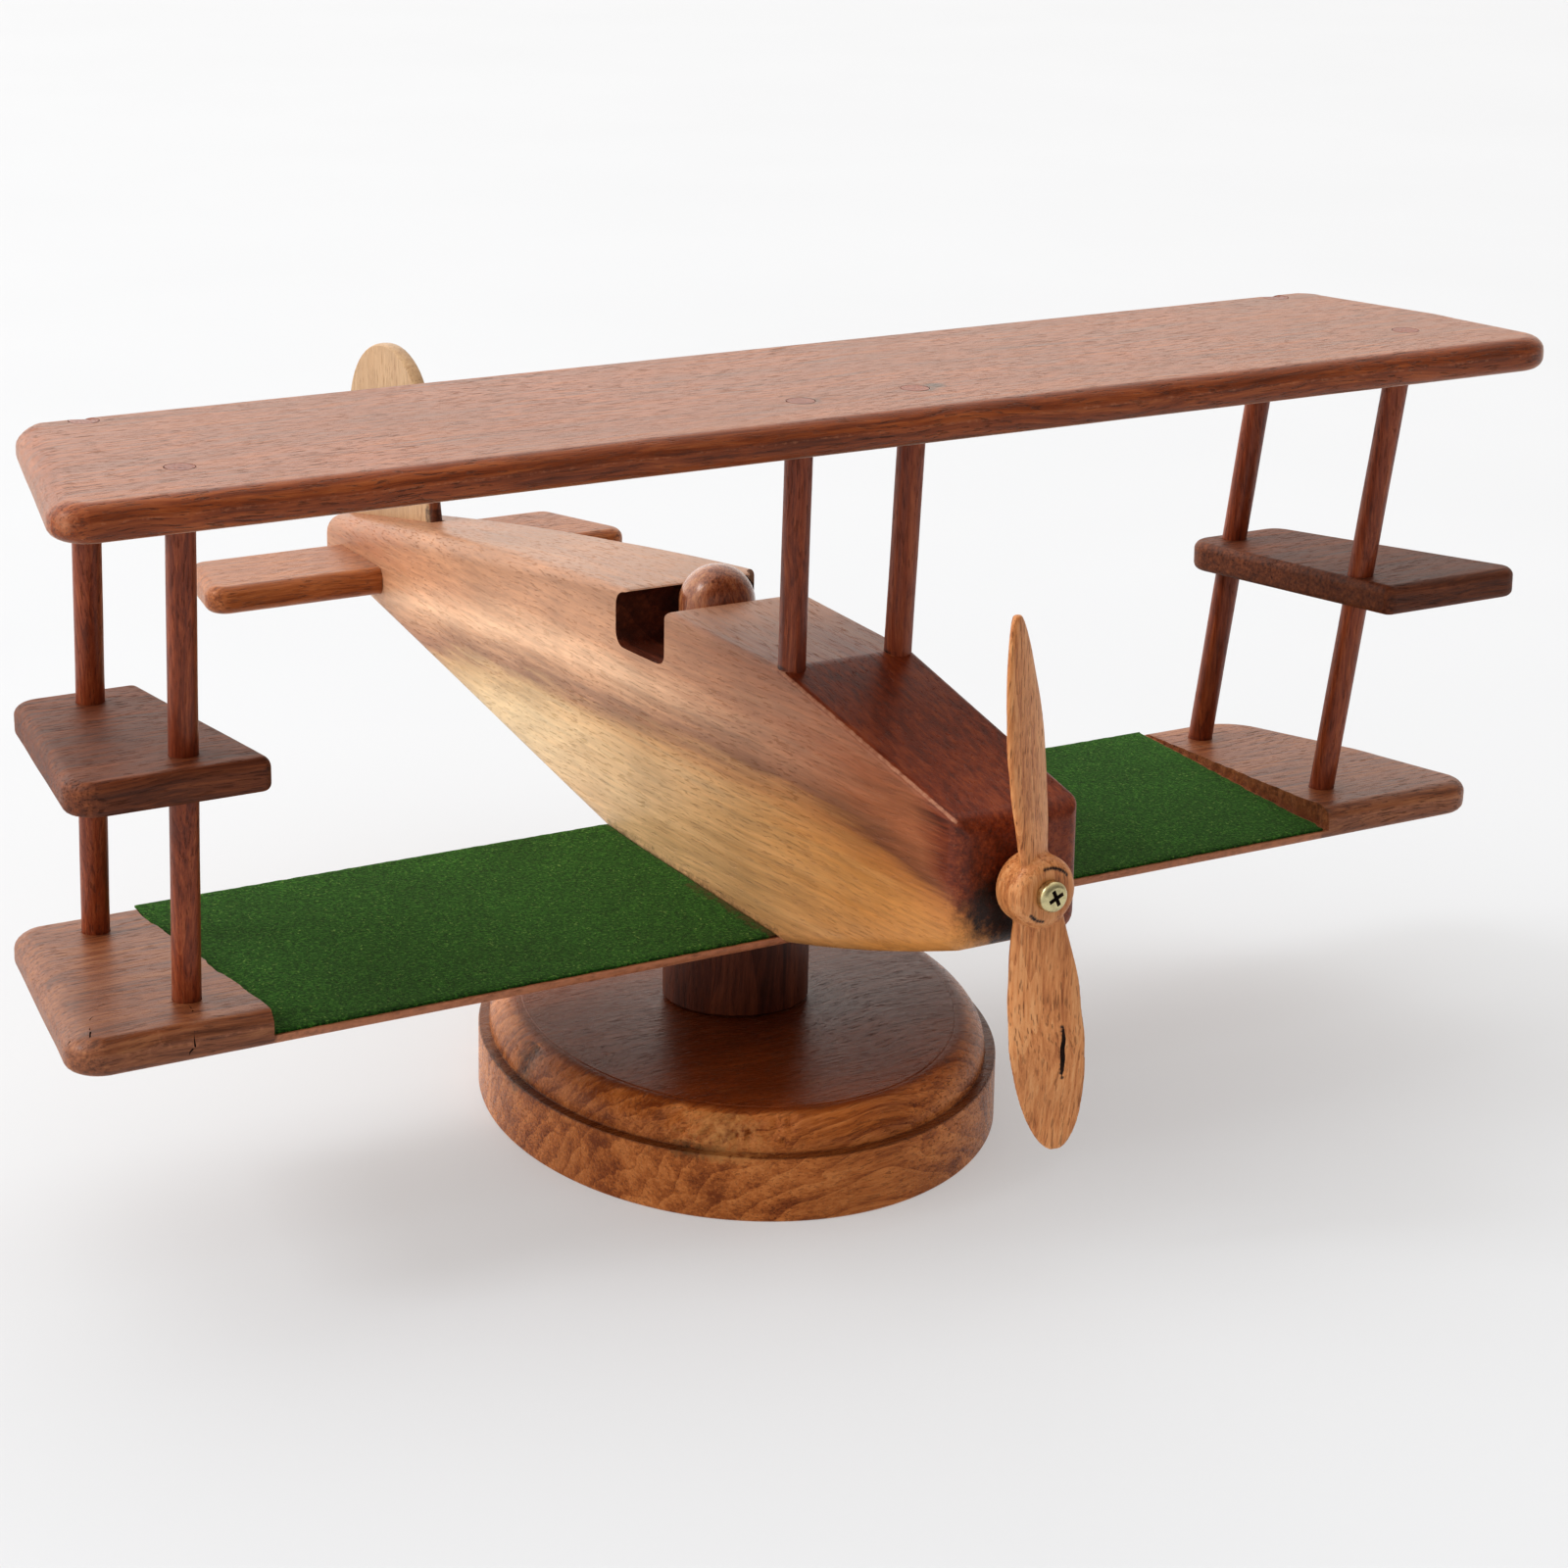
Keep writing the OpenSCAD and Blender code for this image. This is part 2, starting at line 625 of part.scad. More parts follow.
module propeller_washer() {
    color("gold") translate([0, nose_y, axis_z]) rotate([90, 0, 0]) difference() {
        cylinder(h = prop_washer_h, r = prop_washer_r);
        translate([0, 0, -past]) cylinder(h = prop_washer_h + 2 * past, r = prop_screw_r + glue_gap);
    }
}

base_plinth();
swivel_screw();
swivel_washer();
pedestal_column();
column_dowel();
fuselage();
lower_wing();
felt(PORT);  // felt_port
felt(STARBOARD);  // felt_starboard
upper_wing();
outer_strut(PORT, false);  // strut_front_port
outer_strut(STARBOARD, false);  // strut_front_starboard
outer_strut(PORT, true);  // strut_rear_port
outer_strut(STARBOARD, true);  // strut_rear_starboard
cabane_strut(PORT);  // cabane_strut_port
cabane_strut(STARBOARD);  // cabane_strut_starboard
shelf(shelf_corners_port, shelf_r_port);  // shelf_port
shelf(shelf_corners_starboard, shelf_r_starboard);  // shelf_starboard
tailplane(PORT);  // tailplane_port
tailplane(STARBOARD);  // tailplane_starboard
tailplane_dowels();
fin();
pilot_head();
propeller();
propeller_screw();
propeller_washer();
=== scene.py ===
import math

import bmesh
import bpy
from mathutils import Matrix, Vector, noise


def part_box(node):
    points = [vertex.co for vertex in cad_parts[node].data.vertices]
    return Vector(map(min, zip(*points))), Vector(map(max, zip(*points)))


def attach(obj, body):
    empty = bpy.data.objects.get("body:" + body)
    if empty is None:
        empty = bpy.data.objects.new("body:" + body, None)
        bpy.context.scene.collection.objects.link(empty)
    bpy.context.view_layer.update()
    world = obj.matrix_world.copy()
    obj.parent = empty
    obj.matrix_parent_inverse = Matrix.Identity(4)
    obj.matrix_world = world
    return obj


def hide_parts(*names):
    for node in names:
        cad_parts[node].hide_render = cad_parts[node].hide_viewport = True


# Looks of the wooden biplane on its turning pedestal. Metres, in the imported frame:
# the nose points along -Y, port is +X, starboard is -X, and +Z is up.

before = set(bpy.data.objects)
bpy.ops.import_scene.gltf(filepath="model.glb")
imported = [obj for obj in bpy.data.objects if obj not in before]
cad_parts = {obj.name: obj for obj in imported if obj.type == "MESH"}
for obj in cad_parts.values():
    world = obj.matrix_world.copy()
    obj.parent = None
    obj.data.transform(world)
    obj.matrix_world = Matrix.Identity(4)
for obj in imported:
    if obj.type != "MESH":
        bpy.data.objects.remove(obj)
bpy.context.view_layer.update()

MM = 0.001
PORT = 1
STARBOARD = -1
SIDES = ((PORT, "port"), (STARBOARD, "starboard"))
GLUE_GAP = 0.05 * MM
QUARTER = math.pi / 2


# ---------- sizes ----------

UPPER_LOW, UPPER_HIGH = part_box("upper_wing")
LOWER_LOW, LOWER_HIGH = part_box("lower_wing")
BODY_LOW, BODY_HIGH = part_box("fuselage")
NOSE_Y = BODY_LOW.y
TAIL_Y = BODY_HIGH.y

# wings
CORNER_R = 11 * MM
# how far a wing's leading edge reaches to starboard and to port, and its trailing edge to either side
UPPER_REACH = (294 * MM, 283 * MM, 260 * MM)
LOWER_REACH = (282 * MM, 290 * MM, 256.5 * MM)
# rounding of the port tip's front and rear corners
UPPER_PORT_R = (14 * MM, 11 * MM)
LOWER_PORT_R = (13 * MM, 24 * MM)
TIP_BEND = 0.46               # where the port tips bend, as a share of the chord
TIP_BULGE = 4 * MM
TIP_BEND_R = 90 * MM
UPPER_ROUND = 5.5 * MM        # rounding of the upper wing's upper edges
UPPER_TRAIL_WEIGHT = 0.4      # the trailing edge's is narrower, as the rear struts come up beside it
UPPER_BORE_GAP = 0.22 * MM    # shows as a dark line round the struts' ends
PLANED_HALF_SPAN = 213.5 * MM
PLANED_LEAD = 3.5 * MM        # wood left at the leading edge under the felt
PLANED_TRAIL = 11.7 * MM
FELT_THICK = 1.1 * MM

# struts and shelves
STRUT_R = 4.75 * MM
STRUT_FOOT_X = {PORT: 229 * MM, STARBOARD: 233 * MM}
STRUT_TOP_X = 238.5 * MM
STRUT_FRONT_Y = -47.5 * MM
STRUT_PITCH = 74 * MM
STRUT_LEAN = 20 * MM
CABANE_FOOT = Vector((21.2, -67.6, 177)) * MM
CABANE_TOP = Vector((22.4, -72, 268)) * MM
CABANE_SOCKET_Z = 157 * MM
SHELF_TOP_Z = 175 * MM
SHELF_THICK = 11 * MM
# corners of each shelf, counterclockwise, and their rounding, in millimetres
SHELVES = {PORT: ([(229.5, -78.5), (296, -78.5), (262, 27), (215, 27)], [4, 7, 10, 10]),
           STARBOARD: ([(-213, 33), (-257, 33), (-281, -75), (-213, -75)], [4, 10, 10, 4])}

# fuselage
BREAK_Y, BREAK_Z = -68 * MM, 177 * MM
CREST_Y, CREST_Z = 34 * MM, 181.8 * MM
COWL_FOOT_Z = 152 * MM
WIDEST_Y = 20 * MM
HALF_W = 29 * MM
NOSE_HALF_W = 24.5 * MM
TAIL_HALF_W = 13.8 * MM
NOSE_EDGE_R = 5.5 * MM
TAIL_EDGE_R = 2.2 * MM
NOSE_CORNER_Z = 112 * MM      # above it, the nose's starboard corner is rubbed pale

# cockpit slot, seen from the side
COCKPIT_FRONT_Y, COCKPIT_MOUTH_Y, COCKPIT_REAR_Y = 3.8 * MM, 30 * MM, 37.4 * MM
COCKPIT_FLOOR_Z, COCKPIT_ROOF_Z = 160.5 * MM, 180.7 * MM
COCKPIT_REAR_R, COCKPIT_FRONT_R, COCKPIT_LIP_R = 5.5 * MM, 4 * MM, 2.6 * MM
ROOF_BREAK_W = 6.5 * MM       # of the roof's broken port corner

# tail
TAILPLANE_RAKE = {PORT: 15.5 * MM, STARBOARD: 12 * MM}
FIN_FOOT_Z = 152 * MM
FIN_LEAN = 12                 # degrees
FIN_ARCH = Vector((271, 193)) * MM
FIN_ARCH_R = 33 * MM

# pedestal
BASE_TURN = math.radians(-20.5)
BASE_HALF_W = 92 * MM
BASE_HALF_L = 125 * MM
BASE_H = 35.5 * MM
SLAB_H = 23 * MM
LEDGE = 4 * MM
FILLET_H = 1.6 * MM
CHIPPED, STAINED = math.radians(252), math.radians(200)     # where round the oval

# propeller
AXIS_Z = 128.9 * MM
HUB_REAR_Y = NOSE_Y - 1.25 * MM
HUB_LEN = 15.5 * MM
HUB_R = 12 * MM
HUB_ROUND = 4.5 * MM
BLADE_R = 92 * MM
BLADE_W = 25 * MM
BLADE_ROOT_W = 12.5 * MM
BLADE_PITCH = math.radians(26)
BLADE_MIDDLE_Y = HUB_REAR_Y - HUB_LEN / 2 - 0.6 * MM
PROPELLER_TURN = math.radians(-7)

# camera and key lamp
CAMERA_PLACE = (-0.69216, -1.12247, 0.52581)
CAMERA_ANGLES = (-32.37, 17.32, 0.98)       # azimuth, elevation and roll, in degrees
CAMERA_LENS = 89.34
KEY_PLACE = (-4.8, 1.6, 4.4)
KEY_AIM = (0, 0, 0.15)


# ---------- mesh helpers ----------

def linked(name, data):
    """A new object in the scene."""
    obj = bpy.data.objects.new(name, data)
    bpy.context.scene.collection.objects.link(obj)
    return obj


def made(name, verts, faces):
    """A mesh object, with its faces turned outwards."""
    mesh = bpy.data.meshes.new(name)
    mesh.materials.append(None)
    bm = bmesh.new()
    for v in verts:
        bm.verts.new(v)
    bm.verts.ensure_lookup_table()
    for f in faces:
        bm.faces.new([bm.verts[i] for i in f])
    bmesh.ops.recalc_face_normals(bm, faces=bm.faces)
    bm.to_mesh(mesh)
    bm.free()
    return linked(name, mesh)


def gridded(obj, step=8 * MM, sag=0.0):
    """Cuts obj's faces into squares across X and Y, and lets flat faces undulate by the sag."""
    gridded_along(obj, 0, step)
    gridded_along(obj, 1, step)
    for v in obj.data.vertices:
        if sag and abs(v.normal.z) > 0.99:
            v.co.z -= math.copysign(sag, v.normal.z) * (1 + noise.noise(v.co * 38)) / 2


def sliced(bm, place, way, **settings):
    """Cuts everything in bm along a plane."""
    everything = bm.verts[:] + bm.edges[:] + bm.faces[:]
    return bmesh.ops.bisect_plane(bm, geom=everything, plane_co=place, plane_no=way, **settings)


def gridded_along(obj, axis, step):
    """Cuts obj's faces across one axis, so that its big flat faces can carry values."""
    bm = bmesh.new()
    bm.from_mesh(obj.data)
    places = [v.co[axis] for v in bm.verts]
    low, high = min(places), max(places)
    count = max(2, round((high - low) / step))
    for k in range(1, count):
        at, way = Vector(), Vector()
        at[axis], way[axis] = low + (high - low) * (k + 0.13) / count, 1
        sliced(bm, at, way)
    bm.to_mesh(obj.data)
    bm.free()


def skinned(name, rings):
    """A closed skin over rings of as many points each, with a flat face at each end."""
    n = len(rings[0])
    verts = [p for ring in rings for p in ring]
    faces = [list(range(n))[::-1], [len(verts) - n + i for i in range(n)]]
    for k in range(len(rings) - 1):
        for i in range(n):
            j = (i + 1) % n
            faces.append([k * n + i, k * n + j, (k + 1) * n + j, (k + 1) * n + i])
    return made(name, verts, faces)


def baked(obj):
    """Applies obj's modifiers."""
    graph = bpy.context.evaluated_depsgraph_get()
    mesh = bpy.data.meshes.new_from_object(obj.evaluated_get(graph))
    obj.modifiers.clear()
    obj.data = mesh


def combined(obj, others, operation, materials):
    """Joins the others to obj, or takes them out of it, and deletes them."""
    for other in others:
        m = obj.modifiers.new("boolean", "BOOLEAN")
        m.operation, m.object, m.solver, m.material_mode = operation, other, "EXACT", materials
    baked(obj)
    for other in others:
        bpy.data.objects.remove(other)


def cut(obj, *cutters):
    """Takes the cutters out of obj. The cut faces keep the cutters' materials."""
    combined(obj, cutters, "DIFFERENCE", "TRANSFER")


def placed(obj, body, material, slot, nodes, sharp=35, **values):
    """Shades obj, gives it its material and puts it on its CAD body in place of those nodes.
    Each value is a function of a vertex's place, stored under its name for the materials to read."""
    for name, value_at in values.items():
        layer = obj.data.attributes.new(name, "FLOAT", "POINT")
        layer.data.foreach_set("value", [value_at(v.co) for v in obj.data.vertices])
    obj.data.polygons.foreach_set("use_smooth", [True] * len(obj.data.polygons))
    obj.data.set_sharp_from_angle(angle=math.radians(sharp))
    weighted = obj.modifiers.new("even shading", "WEIGHTED_NORMAL")
    weighted.keep_sharp = True
    obj.data.materials[0] = material
    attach(obj, body)
    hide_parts(*nodes)


def clamped(value):
    return min(1.0, max(0.0, value))


def stray(x, y, z):
    """Smooth noise, between about -1 and 1."""
    return noise.noise(Vector((x, y, z)))


def moved(x, y, z, angle, axis):
    """A turn about one axis, then a move."""
    return Matrix.Translation((x, y, z)) @ Matrix.Rotation(angle, 4, axis)


def arc(centre, r, start, end, steps):
    """Points along an arc between two angles in degrees. r is a radius, or an oval's two."""
    rx, ry = r if isinstance(r, tuple) else (r, r)
    angles = [math.radians(start + (end - start) * k / steps) for k in range(steps + 1)]
    return [(centre[0] + rx * math.cos(a), centre[1] + ry * math.sin(a)) for a in angles]


def between(start, end, count):
    """The points that divide a line into that many parts, without its ends."""
    return [tuple(a + (b - a) * k / count for a, b in zip(start, end)) for k in range(1, count)]


def circle(count):
    """Unit vectors all round Z."""
    angles = [math.tau * i / count for i in range(count)]
    return [Vector((math.cos(a), math.sin(a), 0)) for a in angles]


def rectangle(half_x, half_y):
    return [(-half_x, -half_y), (half_x, -half_y), (half_x, half_y), (-half_x, half_y)]


def rounded(corners, radii, weights, step, steps=8):
    """The rim of a polygon with rounded corners, as (point, way inwards, weight of an inset) all round.
    Each side has a weight, which says how much of an inset it takes."""
    corners = [Vector(c) for c in corners]
    n = len(corners)
    arcs = []
    for i, b in enumerate(corners):
        to_a = (corners[i - 1] - b).normalized()
        to_c = (corners[(i + 1) % n] - b).normalized()
        half = to_a.angle(to_c) / 2
        centre = b + (to_a + to_c).normalized() * (radii[i] / math.sin(half))
        first = b + to_a * (radii[i] / math.tan(half)) - centre
        start = math.atan2(first.y, first.x)
        row = []
        for k in range(steps + 1):
            angle = start + (math.pi - 2 * half) * k / steps
            out = Vector((math.cos(angle), math.sin(angle)))
            weight = weights[i - 1] + (weights[i] - weights[i - 1]) * k / steps
            row.append((centre + out * radii[i], -out, weight))
        arcs.append(row)
    rim = []
    for i in range(n):
        rim += arcs[i]
        end, start = arcs[i][-1], arcs[(i + 1) % n][0]
        count = max(1, round((start[0] - end[0]).length / step))
        rim += [(end[0].lerp(start[0], k / count), end[1], weights[i]) for k in range(1, count)]
    return rim


def rim_of(points):
    """The rim of any polygon given counterclockwise, as rounded() gives it."""
    points = [Vector(p) for p in points]
    rim = []
    for i, p in enumerate(points):
        before = (p - points[i - 1]).normalized()
        after = (points[(i + 1) % len(points)] - p).normalized()
        inwards = Vector((-before.y - after.y, before.x + after.x)).normalized()
        mitre = max(0.5, inwards.dot(Vector((-before.y, before.x))))
        rim.append((p, inwards / mitre, 1))
    return rim


def bullnose(thick, low, high, steps=6):
    """(inset, height) up the edge of a board, rounded by low at the bottom and by high at the top."""
    return arc((low, low), low, 270, 180, steps) + arc((high, thick - high), high, 180, 90, steps)


def board(name, rim, rows, base_z, seed=0.0):
    """A board with that rim and edge. Its edges waver a little, as sanding by hand leaves them."""
    rings = []
    for inset, height in rows:
        ring = []
        for p, inwards, weight in rim:
            waver = 0.14 * MM * (1 + noise.noise(Vector((p.x + seed, p.y, height * 3)) * 45))
            q = p + inwards * (inset * weight + waver)
            ring.append((q.x, q.y, base_z + height))
        rings.append(ring)
    return skinned(name, rings)


def prism(name, points, low, high, axis="Z"):
    """A straight prism over a polygon, for cutting. Along X, the points are (y, z)."""
    def place(p, h):
        return (p[0], p[1], h) if axis == "Z" else (h, p[0], p[1])
    return skinned(name, [[place(p, h) for p in points] for h in (low, high)])


def slanted_rod(name, foot, top, r, low, high, sides=32, rows=18, wobble=0.0):
    """A round rod along the line from foot to top, cut off level at the heights low and high."""
    rings = []
    for k in range(rows + 1):
        z = low + (high - low) * k / rows
        centre = foot + (top - foot) * ((z - foot.z) / (top.z - foot.z))
        rings.append([centre + way * (r + wobble * noise.noise(way * 1.3 + centre * 35))
                      for way in circle(sides)])
    return skinned(name, rings)


def lathed(name, profile, place=Matrix(), sides=64, wobble=0.0):
    """A solid turned round Z from (radius, height) points, then moved by the matrix place."""
    rings = []
    for r, h in profile:
        ring = []
        for way in circle(sides):
            own = r + wobble * noise.noise(way * 1.1 + Vector((0, 0, h * 90)))
            ring.append(place @ (way * own + Vector((0, 0, h))))
        rings.append(ring)
    return skinned(name, rings)


def bore(r, low, high, place=Matrix(), sides=48):
    """A straight round cutter along Z, moved by the matrix place."""
    return lathed("bore", [(r, low), (r, high)], place, sides)


def groove(name, points, outwards, width, depth):
    """A V-shaped trench along points on a surface, for cutting cracks and knife marks.
    It closes at its ends, and its faces paint the cut's bottom dark: painted shade, with some dirt."""
    points = [Vector(p) for p in points]
    outwards = Vector(outwards).normalized()
    rings = []
    for i, p in enumerate(points):
        along = (points[min(i + 1, len(points) - 1)] - points[max(i - 1, 0)]).normalized()
        side = along.cross(outwards).normalized()
        share = math.sin(math.pi * (i + 0.35) / (len(points) - 0.3))
        half = side * width * share / 2
        lid = outwards * depth * 0.5
        rings.append([p - half * 1.6 + lid, p + half * 1.6 + lid, p - outwards * depth * share])
    trench = skinned(name, rings)
    trench.data.materials[0] = CREVICE_SHADE_AND_DIRT
    return trench


def wandering(start, end, steps, sway, seed):
    """Points from start to end that stray to the sides, as a crack does."""
    start, end = Vector(start), Vector(end)
    points = []
    for k in range(steps + 1):
        t = k / steps
        aside = noise.noise_vector(Vector((t * 3.1, seed, 0.5)))
        points.append(start.lerp(end, t) + aside * sway * math.sin(math.pi * t))
    return points


def near(points, reach):
    """A function that is 1 at any of those points and 0 beyond the reach."""
    points = [Vector(p) for p in points]

    def value(p):
        return max(0.0, 1 - min((p - q).length for q in points) / reach)
    return value


# ---------- shape of the fuselage and the planed wing ----------

def planed_end(y, side):
    """How far out the hand-cut planed stretch reaches at y."""
    return PLANED_HALF_SPAN + (stray(y * 55, side * 7.0, 0) * 1.3 + stray(y * 260, side, 3) * 0.7) * MM


def planed_z(y):
    """The height of the planed wood at y."""
    share = (y - LOWER_LOW.y) / (LOWER_HIGH.y - LOWER_LOW.y)
    return LOWER_LOW.z + PLANED_LEAD + (PLANED_TRAIL - PLANED_LEAD) * share


def half_w(y):
    """Half the fuselage's width at y."""
    if y < WIDEST_Y:
        return HALF_W - (HALF_W - NOSE_HALF_W) * (WIDEST_Y - y) / (WIDEST_Y - NOSE_Y)
    share = (y - WIDEST_Y) / (TAIL_Y - WIDEST_Y)
    return HALF_W - (HALF_W - TAIL_HALF_W) * share ** 1.5


def deck_z(y):
    """The height of the fuselage's top at y."""
    if y < BREAK_Y:
        return COWL_FOOT_Z + (BREAK_Z - COWL_FOOT_Z) * (y - NOSE_Y) / (BREAK_Y - NOSE_Y)
    if y < CREST_Y:
        return BREAK_Z + (CREST_Z - BREAK_Z) * (y - BREAK_Y) / (CREST_Y - BREAK_Y)
    d = y - CREST_Y
    return CREST_Z - 0.07 * d - 0.18 * d * d


def belly_z(y):
    """The height of the fuselage's underside at y."""
    if y < LOWER_LOW.y:
        d = LOWER_LOW.y - y
        return LOWER_LOW.z + 1 * MM + 0.22 * d + 0.6 * d * d
    if y <= LOWER_HIGH.y:
        return planed_z(y)
    d = y - LOWER_HIGH.y
    return LOWER_LOW.z + 10 * MM + 0.19 * d - 0.12 * d * d


# ---------- materials ----------

def srgb(r, g, b):
    """A colour from 0 to 255 as it looks on a screen, for a shader."""
    def linear(c):
        c /= 255
        return c / 12.92 if c <= 0.04045 else ((c + 0.055) / 1.055) ** 2.4
    return (linear(r), linear(g), linear(b), 1)


class Graph:
    """Builds a material's nodes. Inputs are values or other nodes' output sockets."""

    def __init__(self, name):
        self.material = bpy.data.materials.new(name)
        self.material.use_nodes = True
        self.tree = self.material.node_tree
        self.shader = self.tree.nodes["Principled BSDF"]

    def add(self, kind, inputs, output=0, **settings):
        node = self.tree.nodes.new("ShaderNode" + kind)
        for key, value in settings.items():
            setattr(node, key, value)
        for key, value in inputs.items():
            self.feed(node.inputs[key], value)
        return node.outputs[output]

    def feed(self, socket, value):
        if isinstance(value, bpy.types.NodeSocket):
            self.tree.links.new(value, socket)
        else:
            socket.default_value = value

    def surface(self, **inputs):
        for key, value in inputs.items():
            self.feed(self.shader.inputs[key.replace("_", " ")], value)

    def math(self, operation, a, b=0.0, c=0.0):
        return self.add("Math", {0: a, 1: b, 2: c}, operation=operation)

    def times(self, a, b):
        return self.math("MULTIPLY", a, b)

    def madd(self, a, b, c):
        """a times b, plus c."""
        return self.math("MULTIPLY_ADD", a, b, c)

    def noise(self, coords, scale, detail=3.0, roughness=0.55, distortion=0.0, output=0):
        return self.add("TexNoise", {"Vector": coords, "Scale": scale, "Detail": detail,
                                     "Roughness": roughness, "Distortion": distortion}, output)

    def span(self, value, low, high, to_low=0.0, to_high=1.0):
        return self.add("MapRange", {"Value": value, "From Min": low, "From Max": high,
                                     "To Min": to_low, "To Max": to_high})

    def ramp(self, value, *stops):
        node = self.tree.nodes.new("ShaderNodeValToRGB")
        self.feed(node.inputs[0], value)
        elements = node.color_ramp.elements
        while len(elements) < len(stops):
            elements.new(0.5)
        for element, (place, colour) in zip(elements, stops):
            element.position, element.color = place, colour
        return node.outputs[0]

    def mix(self, share, a, b, blend="MIX"):
        node = self.tree.nodes.new("ShaderNodeMix")
        node.data_type, node.blend_type = "RGBA", blend
        for socket, value in ((node.inputs[0], share), (node.inputs[6], a), (node.inputs[7], b)):
            self.feed(socket, value)
        return node.outputs[2]

    def shaded(self, colour, level):
        """The colour, made darker or lighter."""
        return self.mix(1.0, colour, self.add("CombineColor", {0: level, 1: level, 2: level}), "MULTIPLY")

    def attribute(self, name):
        return self.add("Attribute", {}, 2, attribute_name=name)

    def here(self):
        """The place on the object, in metres."""
        return self.add("TexCoord", {}, 3)

    def split(self, vector):
        node = self.tree.nodes.new("ShaderNodeSeparateXYZ")
        self.feed(node.inputs[0], vector)
        return node.outputs

    def bump(self, height, distance, strength=1.0, normal=None):
        inputs = {"Height": height, "Distance": distance, "Strength": strength}
        if normal is not None:
            inputs["Normal"] = normal
        return self.add("Bump", inputs)


def grain_coords(g, along, stretch, bend, place):
    """Millimetres, squeezed along the grain and bent a little, so that noise on them runs as grain."""
    here = g.here()
    slow = g.noise(here, 11.0, 2.0, 0.5, output=1)
    away = g.add("VectorMath", {0: slow, 1: (0.5, 0.5, 0.5)}, operation="SUBTRACT")
    bent = g.add("VectorMath", {0: away, 1: (bend, bend, bend), 2: here}, operation="MULTIPLY_ADD")
    scale = [1000.0] * 3
    scale["XYZ".index(along)] /= stretch
    put = g.add("Mapping", {"Vector": bent, "Location": place})
    return g.add("Mapping", {"Vector": put, "Scale": scale})


def wood(name, dark, mid, light, along="X", place=(0, 0, 0), stretch=18, size=1.0, bend=0.012, bands=0.45,
         figure=0.25, pores=0.6, dashes=1.0, worn=srgb(186, 124, 90), marks=(), recolour=None,
         ior=1.4, rough=0.38, shine=0.1, bloom=0.0):
    """Varnished wood. Its grain runs along one axis. The pieces' worn values paint it lighter (wear, and
    painted highlights), and their grime values and the marks paint it darker (dirt, and painted shade).
    Marks are dark spots, as (x, y, z, reach) in millimetres, for filler plugs and painted shadows. Bloom is
    a dusty sheen at low angles."""
    g = Graph(name)
    coords = grain_coords(g, along, stretch, bend, place)
    broad = g.noise(coords, 0.06 * size, 4.0, 0.6, 0.4)
    fine = g.noise(coords, 0.55 * size, 6.0, 0.75)
    patch = g.noise(g.here(), 16.0 * size, 3.0, 0.6)
    rings = g.add("TexWave", {"Vector": coords, "Scale": 0.05 * size, "Distortion": 9.0, "Detail": 3.0,
                              "Detail Scale": 0.6, "Detail Roughness": 0.6}, 1,
                  bands_direction="DIAGONAL", wave_profile="SAW")
    tone = g.madd(broad, bands, g.times(fine, 1 - bands))
    tone = g.madd(g.math("SUBTRACT", rings, 0.5), figure * 0.35, tone)
    colour = g.ramp(tone, (0.38, dark), (0.5, mid), (0.62, light))
    if recolour:
        colour = recolour(g, coords, tone, colour)
    colour = g.shaded(colour, g.span(patch, 0.3, 0.7, 0.86, 1.12))

    short = [1.0] * 3
    short["XYZ".index(along)] = stretch / 11
    dash = g.noise(g.add("Mapping", {"Vector": coords, "Scale": short}), 1.5 * dashes, 2.0, 0.5)
    hole = g.times(g.span(dash, 0.59, 0.65), g.span(patch, 0.35, 0.65, 0.35, 1.0))
    colour = g.mix(g.times(hole, pores), colour, srgb(52, 26, 16))

    ragged = g.noise(g.here(), 420.0, 4.0, 0.7)
    # lighter by the worn values: wear, and painted highlights
    wear_and_highlight_mask = g.span(g.madd(ragged, 0.9, g.attribute("worn")), 0.85, 1.25)
    colour = g.mix(wear_and_highlight_mask, colour, worn)
    # darker by the grime values and the marks: dirt, and painted shade and shadows
    shade_and_dirt = g.attribute("grime")
    for x, y, z, reach in marks:
        away = g.add("VectorMath", {0: g.here(), 1: (x * MM, y * MM, z * MM)}, 1, operation="DISTANCE")
        shade_and_dirt = g.math("MAXIMUM", shade_and_dirt, g.span(away, 0.3 * reach * MM, reach * MM, 0.75, 0.0))
    colour = g.mix(g.span(g.madd(ragged, 0.8, shade_and_dirt), 0.7, 1.15), colour, srgb(38, 19, 12))

    dull = g.madd(wear_and_highlight_mask, 0.2, g.span(fine, 0.3, 0.7, rough - 0.06, rough + 0.1))
    relief = g.madd(hole, -1.0, g.times(fine, 0.7))
    slow_wave = g.bump(g.noise(g.here(), 26.0, 1.0), 0.8 * MM, 0.35)
    g.surface(Base_Color=colour, Roughness=g.madd(hole, 0.4, dull),
              Normal=g.bump(relief, 0.22 * MM, 0.9, slow_wave), IOR=ior,
              Coat_Weight=shine, Coat_Roughness=0.2, Coat_IOR=1.4,
              Sheen_Weight=bloom, Sheen_Roughness=0.35, Sheen_Tint=srgb(255, 230, 212))
    return g.material


